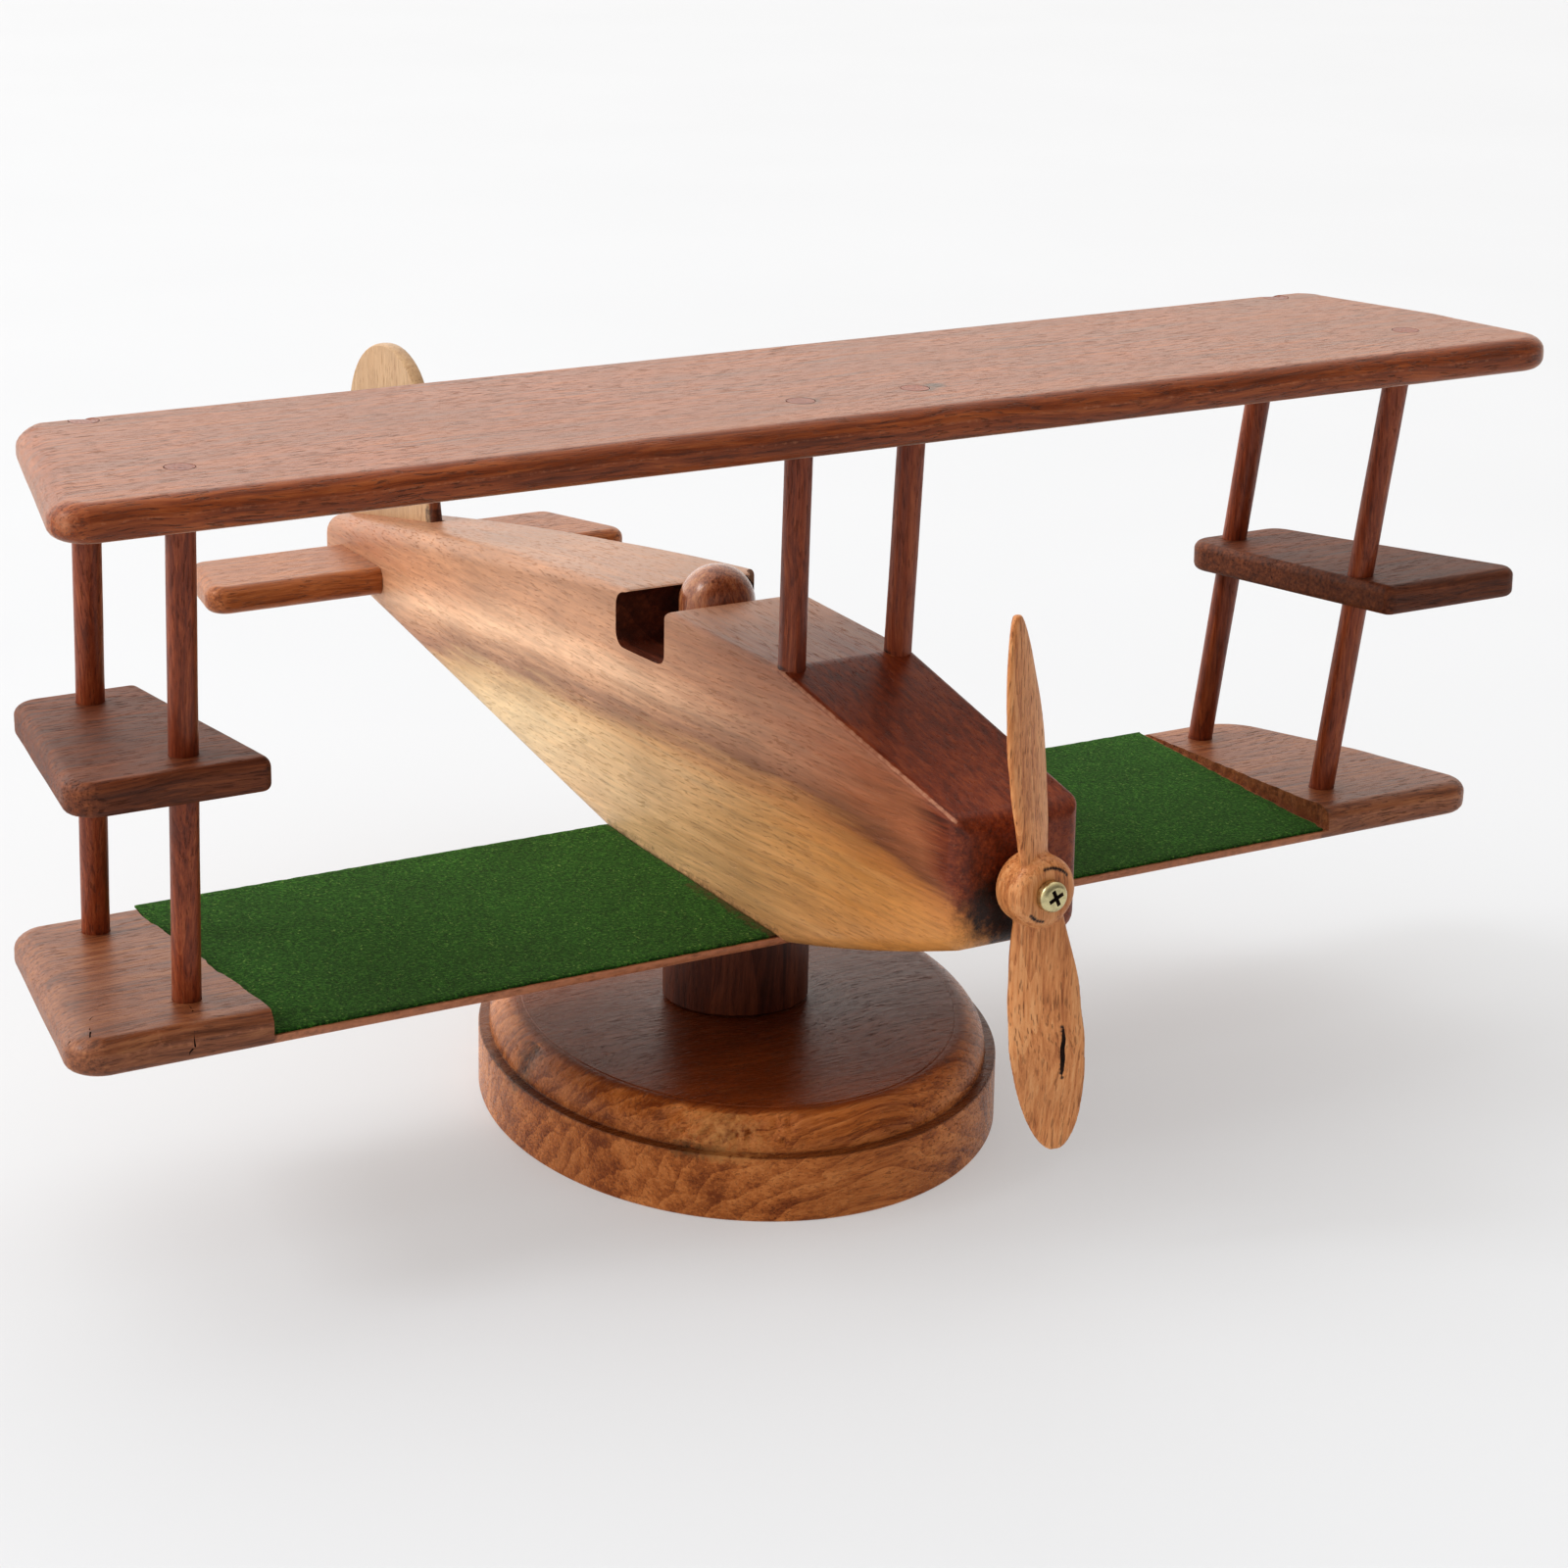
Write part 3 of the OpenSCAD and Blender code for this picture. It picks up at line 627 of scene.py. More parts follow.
WING = dict(dark=srgb(98, 44, 17), mid=srgb(138, 67, 28), light=srgb(166, 92, 46))
UPPER_MARKS = [(-21.5, -72, 268, 9), (24, -73, 268, 9), (31, -71, 268, 6), (-238.5, -64, 268, 3),
               (-240, 4, 268, 4), (236, -66, 268, 4)]
LOWER = dict(dark=srgb(100, 54, 28), mid=srgb(142, 84, 50), light=srgb(168, 110, 70))
# The shelves are darker brown, partly painted shade from the upper wing above them.
SHELF_DARKER_WITH_SHADE = dict(dark=srgb(72, 34, 17), mid=srgb(106, 55, 29), light=srgb(134, 76, 44))
TAILPLANE = dict(dark=srgb(120, 62, 28), mid=srgb(158, 90, 45), light=srgb(184, 114, 66))
WING_WOODS = {
    name: wood("wood_" + name, place=place, stretch=34, bands=0.18, figure=0.06, dashes=1.1, **look)
    for name, place, look in (
        ("upper_wing", (0, 0, 0), dict(bloom=0.55, marks=UPPER_MARKS, **WING)),
        ("lower_wing", (1.3, 0.4, 0.2), dict(ior=1.5, rough=0.42, **LOWER)),
        ("shelves", (2.2, 0.9, 0.7), dict(rough=0.5, shine=0.0, **SHELF_DARKER_WITH_SHADE)),
        ("tailplane", (3.1, 1.7, 0.5), dict(bloom=0.5, **TAILPLANE)))
}


def sapwood(g, coords, tone, colour):
    """The fuselage's block: blond sapwood low on the starboard side, under streaky brown heartwood.
    It is redder towards the nose, and as dark as the wings on the cowl."""
    x, y, z = g.split(g.here())
    from_arch = g.math("ADD", y, 0.04)
    height = g.madd(g.math("POWER", from_arch, 2.0), 0.3, g.math("SUBTRACT", z, 0.14))
    ahead = g.math("POWER", g.math("MINIMUM", from_arch, 0.0), 2.0)
    height = g.madd(ahead, 0.6, height)
    across = g.math("MAXIMUM", g.math("ADD", x, 0.012), 0.0)
    height = g.madd(across, 1.6, height)
    streak = g.noise(coords, 0.16, 5.0, 0.65, 0.5)
    thin = g.noise(coords, 0.5, 4.0, 0.7)
    height = g.madd(g.math("SUBTRACT", streak, 0.5), 0.016, height)
    height = g.madd(g.math("SUBTRACT", thin, 0.5), 0.01, height)
    level = g.span(height, -0.045, 0.055)
    block = g.ramp(level, (0.0, srgb(222, 194, 154)), (0.28, srgb(220, 191, 149)),
                   (0.38, srgb(204, 168, 124)), (0.455, srgb(158, 116, 88)), (0.5, srgb(196, 150, 116)),
                   (0.57, srgb(232, 188, 152)), (0.7, srgb(203, 152, 117)), (0.9, srgb(172, 126, 96)))
    red = g.ramp(level, (0.3, srgb(206, 144, 80)), (0.42, srgb(188, 122, 66)), (0.47, srgb(138, 82, 52)),
                 (0.58, srgb(180, 110, 72)), (0.9, srgb(150, 84, 52)))
    early, late = (g.span(g.madd(streak, -0.12, y), -0.19, end, 1.0, 0.0) for end in (0.05, -0.03))
    in_sapwood = g.span(level, 0.38, 0.5, 1.0, 0.0)
    block = g.mix(g.madd(g.math("SUBTRACT", early, late), in_sapwood, late), block, red)
    rear = g.times(g.span(y, 0.15, 0.27), g.span(streak, 0.4, 0.6, 0.25, 0.6))
    block = g.mix(rear, block, srgb(178, 116, 84))
    block = g.shaded(block, g.span(tone, 0.38, 0.6, 0.76, 1.12))
    maroon = g.ramp(tone, (0.38, srgb(84, 32, 14)), (0.5, srgb(122, 52, 24)), (0.62, srgb(150, 76, 40)))
    return g.mix(g.span(g.madd(streak, 0.8, g.attribute("cowl")), 0.7, 1.15), block, maroon)


def plateau_and_step_shade(g, coords, tone, colour):
    """The base's flat top is browner, partly painted shade from the aeroplane; the step under the rounded
    moulding is painted shadow.
    """
    z = g.split(g.here())[2]
    streak = g.noise(coords, 0.3, 4.0, 0.6)
    top = g.ramp(streak, (0.35, srgb(114, 56, 23)), (0.5, srgb(126, 64, 27)), (0.65, srgb(140, 74, 33)))
    # painted shadow in the step under the moulding
    ledge = g.mix(g.span(z, SLAB_H + 0.6 * MM, SLAB_H - 0.1 * MM, 0.0, 0.75), colour, srgb(70, 34, 17))
    ledge = g.mix(g.span(z, SLAB_H - 0.8 * MM, SLAB_H - 0.2 * MM), colour, ledge)
    return g.mix(g.span(g.madd(streak, 0.0016, z), BASE_H - 0.3 * MM, BASE_H + 0.7 * MM), ledge, top)


def stained_front(g, coords, tone, colour):
    """Painted shade on the fin's lower front edge, over its darker end grain, as dark as the wings."""
    dark = g.ramp(tone, (0.4, srgb(84, 40, 20)), (0.6, srgb(132, 72, 40)))
    ragged = g.madd(g.noise(coords, 0.8, 3.0, 0.6), 0.5, g.attribute("stain"))
    return g.mix(g.span(ragged, 0.5, 0.8), colour, dark)


# The fuselage's two marks by the nose are a painted shadow of the propeller's hub.
FUSELAGE_WOOD = wood("wood_fuselage", **WING, along="Y", place=(0.3, 0, 0.4), stretch=26, bend=0.006,
                     bands=0.3, figure=0.1, pores=0.18, worn=srgb(184, 132, 104), recolour=sapwood,
                     marks=((-10, -171, 121, 19), (-4, -171, 112, 15)))
# The cockpit's walls are painted dark: painted shade inside the slot.
COCKPIT_SHADE_WOOD = wood("wood_cockpit_shade", srgb(62, 30, 20), srgb(92, 46, 30), srgb(124, 68, 44), along="Y",
                    stretch=12, pores=0.3)
STRUT_WOOD = wood("wood_struts", srgb(104, 44, 21), srgb(136, 64, 33), srgb(162, 88, 51), along="Z",
                  place=(0.2, 0.5, 0.1), size=1.6, bands=0.3, pores=0.4, shine=0.2)
FIN_WOOD = wood("wood_fin", srgb(180, 142, 104), srgb(190, 154, 116), srgb(200, 166, 128), along="Z",
                size=1.3, bands=0.3, figure=0.1, pores=0.2, worn=srgb(214, 188, 150), recolour=stained_front,
                shine=0.2)
PROPELLER_WOOD = wood("wood_propeller", srgb(178, 110, 62), srgb(212, 144, 90), srgb(226, 166, 114),
                      along="Z", stretch=14, size=1.5, bands=0.3, worn=srgb(222, 184, 146), rough=0.42,
                      shine=0.2)
BASE_WOOD = wood("wood_base", srgb(128, 68, 32), srgb(178, 108, 56), srgb(204, 134, 78), stretch=30,
                 size=1.5, bend=0.03, bands=0.5, figure=0.3, pores=0.4, worn=srgb(206, 150, 92),
                 recolour=plateau_and_step_shade, ior=1.27, rough=0.24, shine=0.0)
COLUMN_WOOD = wood("wood_column", srgb(64, 28, 16), srgb(104, 52, 31), srgb(132, 74, 46), along="Z",
                   place=(0.6, 0.1, 0.3), stretch=12, pores=0.4, shine=0.15)
PILOT_WOOD = wood("wood_pilot", srgb(98, 50, 30), srgb(158, 94, 62), srgb(192, 132, 90), along="Z",
                  place=(0.1, 0.7, 0.9), stretch=7, size=1.8, pores=0.5, rough=0.25, shine=0.7)
DOWEL_WOOD = wood("wood_dowels", srgb(180, 136, 92), srgb(206, 164, 116), srgb(222, 184, 138), along="Z")


def metal(name, colour, rough):
    """Scuffed, slightly tarnished metal."""
    g = Graph(name)
    scuffs = g.noise(g.here(), 900.0, 4.0, 0.7)
    tarnish = g.noise(g.here(), 260.0, 3.0, 0.6)
    tint = g.ramp(tarnish, (0.35, tuple(c * 0.62 for c in colour[:3]) + (1,)), (0.6, colour))
    g.surface(Base_Color=tint, Metallic=1.0, Roughness=g.span(scuffs, 0.3, 0.7, rough - 0.08, rough + 0.14),
              Normal=g.bump(scuffs, 0.03 * MM, 0.6))
    return g.material


def felt_material():
    """Green felt with a nap. It reads the sheets' grime values as wood crumbs."""
    g = Graph("felt")
    here = g.here()
    tuft = g.noise(here, 900.0, 4.0, 0.7)
    clump = g.noise(here, 260.0, 3.0, 0.6)
    slow = g.noise(here, 22.0, 3.0, 0.6)
    green = g.ramp(tuft, (0.36, srgb(6, 32, 8)), (0.5, srgb(26, 76, 20)), (0.64, srgb(66, 124, 44)))
    fleck = g.times(g.span(g.noise(here, 860.0, 1.0), 0.63, 0.72), g.span(clump, 0.35, 0.6))
    colour = g.mix(fleck, green, srgb(116, 156, 78))
    colour = g.shaded(colour, g.span(slow, 0.3, 0.7, 0.8, 1.2))
    crumbs = g.span(g.madd(g.noise(here, 330.0, 3.0, 0.7), 1.0, g.attribute("grime")), 0.98, 1.18)
    colour = g.mix(crumbs, colour, srgb(84, 52, 34))
    colour = g.mix(1.0, colour, srgb(232, 222, 222), "MULTIPLY")
    relief = g.math("ADD", tuft, g.times(clump, 0.6))
    g.surface(Base_Color=colour, Roughness=0.95, Normal=g.bump(relief, 0.35 * MM, 0.9),
              Sheen_Weight=0.35, Sheen_Roughness=0.5, Sheen_Tint=srgb(150, 200, 120),
              Specular_IOR_Level=0.15)
    return g.material


def crevice_shade_and_dirt_material():
    """Painted shade, with some dirt, for the dark bottom of cracks and recesses."""
    g = Graph("shade_and_dirt")
    speck = g.noise(g.here(), 700.0, 3.0, 0.6)
    g.surface(Base_Color=g.ramp(speck, (0.35, srgb(26, 12, 8)), (0.65, srgb(54, 28, 16))), Roughness=0.9,
              Normal=g.bump(speck, 0.1 * MM))
    return g.material


BRASS = metal("brass", srgb(214, 202, 158), 0.28)
STEEL = metal("steel", srgb(190, 192, 194), 0.3)
FELT = felt_material()
CREVICE_SHADE_AND_DIRT = crevice_shade_and_dirt_material()


# ---------- wings ----------

def tailplane_bores():
    """The dowels' holes through the fuselage and into both tailplanes."""
    low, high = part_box("tailplane_dowels")
    r = (high.z - low.z) / 2
    reach = high.x + 0.5 * MM
    return [bore(r + GLUE_GAP, 0, reach * 2, moved(-reach, y, low.z + r, QUARTER, "Y"), 32)
            for y in (low.y + r, high.y - r)]


def strut_line(side, rear):
    """An outer strut's axis, between the heights of the two wings' tops."""
    y = STRUT_FRONT_Y + (STRUT_PITCH if rear else 0)
    return (Vector((side * STRUT_FOOT_X[side], y, LOWER_HIGH.z)),
            Vector((side * STRUT_TOP_X, y - STRUT_LEAN, UPPER_HIGH.z)))


def cabane_line(side):
    return tuple(Vector((side * p.x, p.y, p.z)) for p in (CABANE_FOOT, CABANE_TOP))


def strut_bore(line, low, high, gap=GLUE_GAP):
    return slanted_rod("bore", *line, STRUT_R + gap, low, high, rows=1)


def outer_bores(low, high, gap=GLUE_GAP, sides=(PORT, STARBOARD)):
    return [strut_bore(strut_line(side, rear), low, high, gap) for side in sides for rear in (False, True)]


def wing_rim(reach, port_r, lead_y, trail_y, trail_weight):
    """The rim of a wing. Its port tip bends, and its starboard tip is straight."""
    starboard, port, trail = reach
    bend = (port + (trail - port) * TIP_BEND + TIP_BULGE, lead_y + (trail_y - lead_y) * TIP_BEND)
    corners = [(-starboard, lead_y), (port, lead_y), bend, (trail, trail_y), (-trail, trail_y)]
    radii = [CORNER_R, port_r[0], TIP_BEND_R, port_r[1], CORNER_R]
    return rounded(corners, radii, [1, 1.5, 1.2, trail_weight, 1.7], 4 * MM)


def front_line(low, high):
    """Worn values along the middle of a board's leading edge, where the varnish has gone."""
    def value(p):
        middle = abs(p.z - (low.z + high.z) / 2) < 1.2 * MM
        return 0.45 if middle and p.y < low.y + 1.5 * MM else 0.0
    return value


def upper_wing():
    low, high = UPPER_LOW, UPPER_HIGH
    rim = wing_rim(UPPER_REACH, UPPER_PORT_R, low.y, high.y, UPPER_TRAIL_WEIGHT)
    wing = board("upper_wing_board", rim, bullnose(high.z - low.z, 4 * MM, UPPER_ROUND), low.z)
    under, over = low.z - 2 * MM, high.z + 2 * MM
    cut(wing, *outer_bores(under, over, UPPER_BORE_GAP),
        *(strut_bore(cabane_line(side), under, over, UPPER_BORE_GAP) for side, _ in SIDES))
    gridded(wing, sag=0.08 * MM)
    edge, chip = front_line(low, high), near([(-0.288, -0.098, high.z - 5 * MM)], 8 * MM)
    placed(wing, "airframe", WING_WOODS["upper_wing"], "wing_wood", ["upper_wing"],
           worn=lambda p: max(edge(p), 0.8 * chip(p)))


def lower_wing():
    """The lower wing, planed down under the felts, with cracks in its starboard tip."""
    low, high = LOWER_LOW, LOWER_HIGH
    rim = wing_rim(LOWER_REACH, LOWER_PORT_R, low.y, high.y, 1)
    wing = board("lower_wing_board", rim, bullnose(high.z - low.z, 3.2 * MM, 5 * MM), low.z, seed=1.0)
    past = 3 * MM
    under, over = low.z - past, high.z + past
    slices = []
    for k in range(61):
        y = low.y - past + (high.y - low.y + 2 * past) * k / 60
        left, right, bed = -planed_end(y, STARBOARD), planed_end(y, PORT), planed_z(y)
        slices.append([(left, y, bed), (right, y, bed), (right, y, over), (left, y, over)])
    over_edge = (-0.2405, low.y + 0.4 * MM, 0.0890)
    edge_crack = wandering((-0.2428, low.y - 0.1 * MM, 0.0812), over_edge, 9, 1.8 * MM, 3.0)
    cracks = [
        wandering((-0.2405, low.y + 0.4 * MM, 0.0888), (-0.2345, -0.0522, 0.0915), 14, 2.6 * MM, 5.0),
        wandering((-0.2830, -0.0660, 0.0890), (-0.2640, -0.0470, 0.0915), 14, 2.4 * MM, 8.0),
        wandering((-0.2745, -0.0672, 0.0895), (-0.2690, -0.0560, 0.0915), 8, 1.4 * MM, 9.0),
    ]
    cut(wing, skinned("planed off", slices), *outer_bores(under, over),
        bore(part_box("column_dowel")[1].x + GLUE_GAP, under, over),
        groove("crack", edge_crack, (0, -1, 0.1), 0.45 * MM, 1.3 * MM),
        *(groove("crack", line, (0, -0.2, 1), 0.4 * MM, 1.1 * MM) for line in cracks))
    gridded(wing)
    edge = front_line(low, high)
    rubbed = near([(-0.2785, -0.066, 0.088), (-0.252, -0.0705, 0.0885)], 9 * MM)

    def worn(p):
        thin_edge = 0.72 if abs(p.x) < PLANED_HALF_SPAN and p.y < low.y + 3 * MM else 0.0
        return max(edge(p), 0.55 * rubbed(p), thin_edge)
    placed(wing, "airframe", WING_WOODS["lower_wing"], "wing_wood", ["lower_wing"], worn=worn)


def felt(side, name):
    """Felt glued on the planed stretch: a closed sheet with a napped top and slightly ragged edges."""
    node = "felt_" + name
    low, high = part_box(node)
    columns, rows = 124, 78
    top, under = [], []
    for j in range(rows + 1):
        v = j / rows
        y = low.y + (high.y - low.y) * v
        ragged = stray(y * 120, side * 3, 0) + stray(y * 500, side, 4) * 0.6
        end = planed_end(y, side) - (0.55 + 0.4 * ragged + (1.6 if side > 0 else 0)) * MM
        start = half_w(y) + 0.25 * MM
        kept_in = {0: 0.35 * MM, rows: -0.35 * MM}.get(j, 0)
        for i in range(columns + 1):
            x = start + (end - start) * i / columns
            frayed = 0.35 * MM * stray(x * 260, v * 3, side) if j in (0, rows) else 0
            at = Vector((side * x, y + frayed + kept_in, 0))
            at_edge = i in (0, columns) or j in (0, rows)
            lift = FELT_THICK * 0.72 if at_edge else FELT_THICK + 0.16 * MM * noise.noise(at * 900)
            at.z = planed_z(at.y)
            under.append(at + Vector((0, 0, GLUE_GAP)))
            top.append(at + Vector((0, 0, min(lift, FELT_THICK + 0.1 * MM))))
    n = columns + 1
    shift = len(top)
    faces = []
    for j in range(rows):
        for i in range(columns):
            a = j * n + i
            faces.append([a, a + 1, a + n + 1, a + n])
            faces.append([shift + a + n, shift + a + n + 1, shift + a + 1, shift + a])
    border = list(range(n)) + [j * n + columns for j in range(1, rows + 1)]
    border += [rows * n + i for i in range(columns - 1, -1, -1)] + [j * n for j in range(rows - 1, 0, -1)]
    for k, a in enumerate(border):
        b = border[(k + 1) % len(border)]
        faces.append([shift + a, shift + b, b, a])
    sheet = made(node + "_sheet", top + under, faces)

    def grime(p):
        """Crumbs by the fuselage, most of them in front."""
        amount = 0.75 if p.y < LOWER_LOW.y + 52 * MM else 0.5
        return max(0.0, 1 - (abs(p.x) - half_w(p.y)) / (13 * MM)) * amount
    placed(sheet, "airframe", FELT, "felt", [node], sharp=60, grime=grime)


def shelf(side, name):
    """A small board that two outer struts pass through. It tilts a little, front up."""
    node = "shelf_" + name
    low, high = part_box(node)
    corners, radii = SHELVES[side]
    corners = [(x * MM, y * MM - STRUT_FRONT_Y) for x, y in corners]
    rim = rounded(corners, [r * MM for r in radii], [1, 1.2, 1, 0.8], 3 * MM)
    edge = bullnose(SHELF_THICK, 2.5 * MM, 3.5 * MM)
    piece = board(node + "_board", rim, edge, -SHELF_THICK, seed=2.0 + side)
    piece.data.transform(moved(0, STRUT_FRONT_Y, SHELF_TOP_Z, math.radians(-1.5), "X"))
    cut(piece, *outer_bores(low.z - 5 * MM, high.z + 5 * MM, sides=[side]))

    def worn(p):
        middle = abs(p.z - (low.z + high.z) / 2 - 1 * MM) < 2 * MM
        return 0.35 if middle and p.y < low.y + 1.2 * MM else 0.0
    placed(piece, "airframe", WING_WOODS["shelves"], "wing_wood", [node], worn=worn)


def strut(node, line, rows, floor_at):
    """A dowel that reaches up to the upper wing's top, painted darker round its foot."""
    low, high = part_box(node)
    piece = slanted_rod(node + "_dowel", *line, STRUT_R - GLUE_GAP, low.z, high.z, 40, rows, 0.1 * MM)
    for v in piece.data.vertices:       # sanded off with the wing's rounded trailing edge
        past = (v.co.y - UPPER_HIGH.y) / (UPPER_ROUND * UPPER_TRAIL_WEIGHT) + 1
        if past > 0 and v.co.z > UPPER_HIGH.z - 5 * MM:
            fall = UPPER_ROUND * (1 - math.sqrt(max(0, 1 - past ** 2)))
            v.co.z = min(v.co.z, UPPER_HIGH.z - fall - 0.1 * MM)
    placed(piece, "airframe", STRUT_WOOD, "strut_wood", [node],
           grime=lambda p: max(0.0, 0.75 - abs(p.z - floor_at(p)) / (1.6 * MM)))


def struts():
    for side, name in SIDES:
        for rear, place in ((False, "front"), (True, "rear")):
            strut(f"strut_{place}_{name}", strut_line(side, rear), 60, lambda p: LOWER_HIGH.z)
        strut("cabane_strut_" + name, cabane_line(side), 50, lambda p: deck_z(p.y))


# ---------- fuselage ----------

def section(y, inset, r_top, r_low):
    """Points round the fuselage at y: a rectangle with rounded corners, smaller all round by the inset."""
    w = half_w(y) - inset
    high, low = deck_z(y) - inset, belly_z(y) + inset
    arcs = []
    for i, (x, z, r) in enumerate(((-w, low, r_low), (w, low, r_low), (w, high, r_top), (-w, high, r_top))):
        r = max(0.6 * MM, r - inset * 0.7)
        centre = (x - math.copysign(r, x), z + (r if i < 2 else -r))
        arcs.append(arc(centre, r, 180 + 90 * i, 270 + 90 * i, 5))
    points = []
    for i in range(4):
        points += arcs[i] + between(arcs[i][-1], arcs[(i + 1) % 4][0], 12 if i % 2 else 6)
    return [(x, y, z) for x, z in points]


def fuselage_rings():
    """Rings from the middle of the nose's face to the tail's."""
    face = 20 * MM
    stations = [(NOSE_Y, face - (face - NOSE_EDGE_R) * k / 11) for k in range(11)]
    stations += arc((NOSE_Y + NOSE_EDGE_R, NOSE_EDGE_R), NOSE_EDGE_R, 180, 270, 6)
    ys = [NOSE_Y + NOSE_EDGE_R + 5 * MM * k for k in range(1, 95)]
    ys = [y for y in ys if y < TAIL_Y - TAIL_EDGE_R - 3 * MM]
    ys += [BREAK_Y - 2 * MM, BREAK_Y, BREAK_Y + 2 * MM, CREST_Y]
    ys += [y + hair for y in (LOWER_LOW.y, LOWER_HIGH.y) for hair in (-0.05 * MM, 0.05 * MM)]
    stations += [(y, 0) for y in sorted(ys)]
    stations += arc((TAIL_Y - TAIL_EDGE_R, TAIL_EDGE_R), TAIL_EDGE_R, -90, 0, 5)
    rings = []
    for y, inset in stations:
        r_top = (2.6 + 4.4 * clamped((y - CREST_Y) / (90 * MM))) * MM
        over_wing = LOWER_LOW.y <= y <= LOWER_HIGH.y
        r_low = (1.2 if over_wing else 6 - 2 * clamped((y - BREAK_Y) / (90 * MM))) * MM
        rings.append(section(y, inset, r_top, r_low))
    return rings


def cockpit_cutters():
    """The cockpit slot, its walls painted dark as shade, and the broken port corner of the roof behind it.
    """
    rear_y, front_y, floor_z = COCKPIT_REAR_Y - COCKPIT_REAR_R, COCKPIT_FRONT_Y, COCKPIT_FLOOR_Z
    roof_z = COCKPIT_ROOF_Z - COCKPIT_REAR_R
    edge_z, mouth_z = deck_z(front_y), deck_z(COCKPIT_MOUTH_Y)
    over_z = edge_z + 12 * MM
    side = arc((rear_y, roof_z), COCKPIT_REAR_R, 90, 0, 7)
    side += arc((rear_y, floor_z + COCKPIT_REAR_R), COCKPIT_REAR_R, 0, -90, 7)
    stained = len(side)
    side += arc((front_y + COCKPIT_FRONT_R, floor_z + COCKPIT_FRONT_R), COCKPIT_FRONT_R, -90, -180, 6)
    side += arc((front_y - COCKPIT_LIP_R, edge_z - COCKPIT_LIP_R), COCKPIT_LIP_R, 0, 90, 6)
    side += [(front_y - COCKPIT_LIP_R - 1 * MM, over_z), (COCKPIT_MOUTH_Y + 2 * MM, over_z),
             (COCKPIT_MOUTH_Y + 0.9 * MM, mouth_z), (COCKPIT_MOUTH_Y + 0.2 * MM, mouth_z - 0.3 * MM)]
    slot = prism("cockpit", side, -50 * MM, 50 * MM, "X")
    slot.data.materials.append(COCKPIT_SHADE_WOOD)
    for face in slot.data.polygons[2:2 + stained]:      # the prism's two ends come first
        face.material_index = 1
    outer, ahead = HALF_W + 1 * MM, COCKPIT_MOUTH_Y - 1 * MM
    broken = [(outer, COCKPIT_REAR_Y), (outer, ahead), (HALF_W - ROOF_BREAK_W, ahead)]
    broken += arc((HALF_W, COCKPIT_MOUTH_Y), (-ROOF_BREAK_W, COCKPIT_REAR_Y - COCKPIT_MOUTH_Y), 0, 90, 6)
    return [slot, prism("broken corner", broken, roof_z, COCKPIT_ROOF_Z + 20 * MM)]


def fuselage():
    body = skinned("fuselage_block", fuselage_rings())
    fin_low, fin_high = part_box("fin")
    slot_y = fin_low.y - GLUE_GAP
    lean = (fin_high.z - FIN_FOOT_Z) * math.tan(math.radians(FIN_LEAN))
    fin_slot = [(slot_y, FIN_FOOT_Z - GLUE_GAP), (TAIL_Y + 5 * MM, fin_low.z - GLUE_GAP),
                (TAIL_Y + 5 * MM, fin_high.z), (slot_y + lean, fin_high.z)]
    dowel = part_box("column_dowel")[1]
    ahead = NOSE_Y - 5 * MM
    screw_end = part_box("propeller_screw")[1].y + 1 * MM
    cut(body, *cockpit_cutters(),
        prism("fin slot", fin_slot, fin_low.x - GLUE_GAP, fin_high.x + GLUE_GAP, "X"),
        bore(dowel.x + GLUE_GAP, BODY_LOW.z - 10 * MM, dowel.z + 1 * MM), *tailplane_bores(),
        bore(2.3 * MM, 0, screw_end - ahead, moved(0, ahead, AXIS_Z, -QUARTER, "X"), 24),
        *(strut_bore(cabane_line(side), CABANE_SOCKET_Z - GLUE_GAP, 200 * MM) for side, _ in SIDES))

    def worn(p):
        """The starboard edge between the deck, the cowl and the flank, and the nose's corner."""
        on_edge = half_w(p.y) + p.x < 1.7 * MM and deck_z(p.y) - p.z < 1.7 * MM
        front = p.y < NOSE_Y + 4 * MM and half_w(p.y) + p.x < 7 * MM and p.z > NOSE_CORNER_Z
        if on_edge and p.y < 4 * MM:
            return 0.7 if p.y < BREAK_Y + 3 * MM else 0.36
        return 0.3 if front else 0.0

    def grime(p):
        """Painted shade in the slot, and dirt where the felts meet the block's foot."""
        if LOWER_LOW.y < p.y < LOWER_HIGH.y and p.z < planed_z(p.y) + 1.6 * MM:
            return 0.42
        in_slot = (COCKPIT_FRONT_Y + 0.1 * MM < p.y < COCKPIT_REAR_Y + 0.6 * MM
                   and COCKPIT_FLOOR_Z + 0.2 * MM < p.z < COCKPIT_ROOF_Z - 1.2 * MM)
        return 0.35 if in_slot and abs(p.x) < half_w(p.y) - 0.5 * MM else 0.0

    def cowl(p, normal):
        """How much of the cowl's dark colour a vertex has: all on top, fading behind and down the nose."""
        if p.y > BREAK_Y + 0.5 * MM:
            return max(0.0, 0.5 - (p.y - BREAK_Y) / (150 * MM)) * max(0.0, normal.z)
        up = (p.z - belly_z(p.y)) / (deck_z(p.y) - belly_z(p.y))
        over = (p.x + half_w(p.y)) / (2 * half_w(p.y))
        reach = (4 + 30 * clamped((up - 0.2) / 0.6)) * MM
        by_nose = clamped((up + 0.9 * over - 0.2) / 0.4) * max(0.0, 1 - (p.y - NOSE_Y) / reach)
        return min(1.0, max(by_nose, normal.z * 1.1))

    normals = [Vector() for v in body.data.vertices]
    for face in body.data.polygons:
        for index in face.vertices:
            normals[index] += face.normal * face.area
    shares = iter([cowl(v.co, normals[v.index].normalized()) for v in body.data.vertices])
    placed(body, "airframe", FUSELAGE_WOOD, "fuselage_wood", ["fuselage"], sharp=32,
           worn=worn, grime=grime, cowl=lambda p: next(shares))


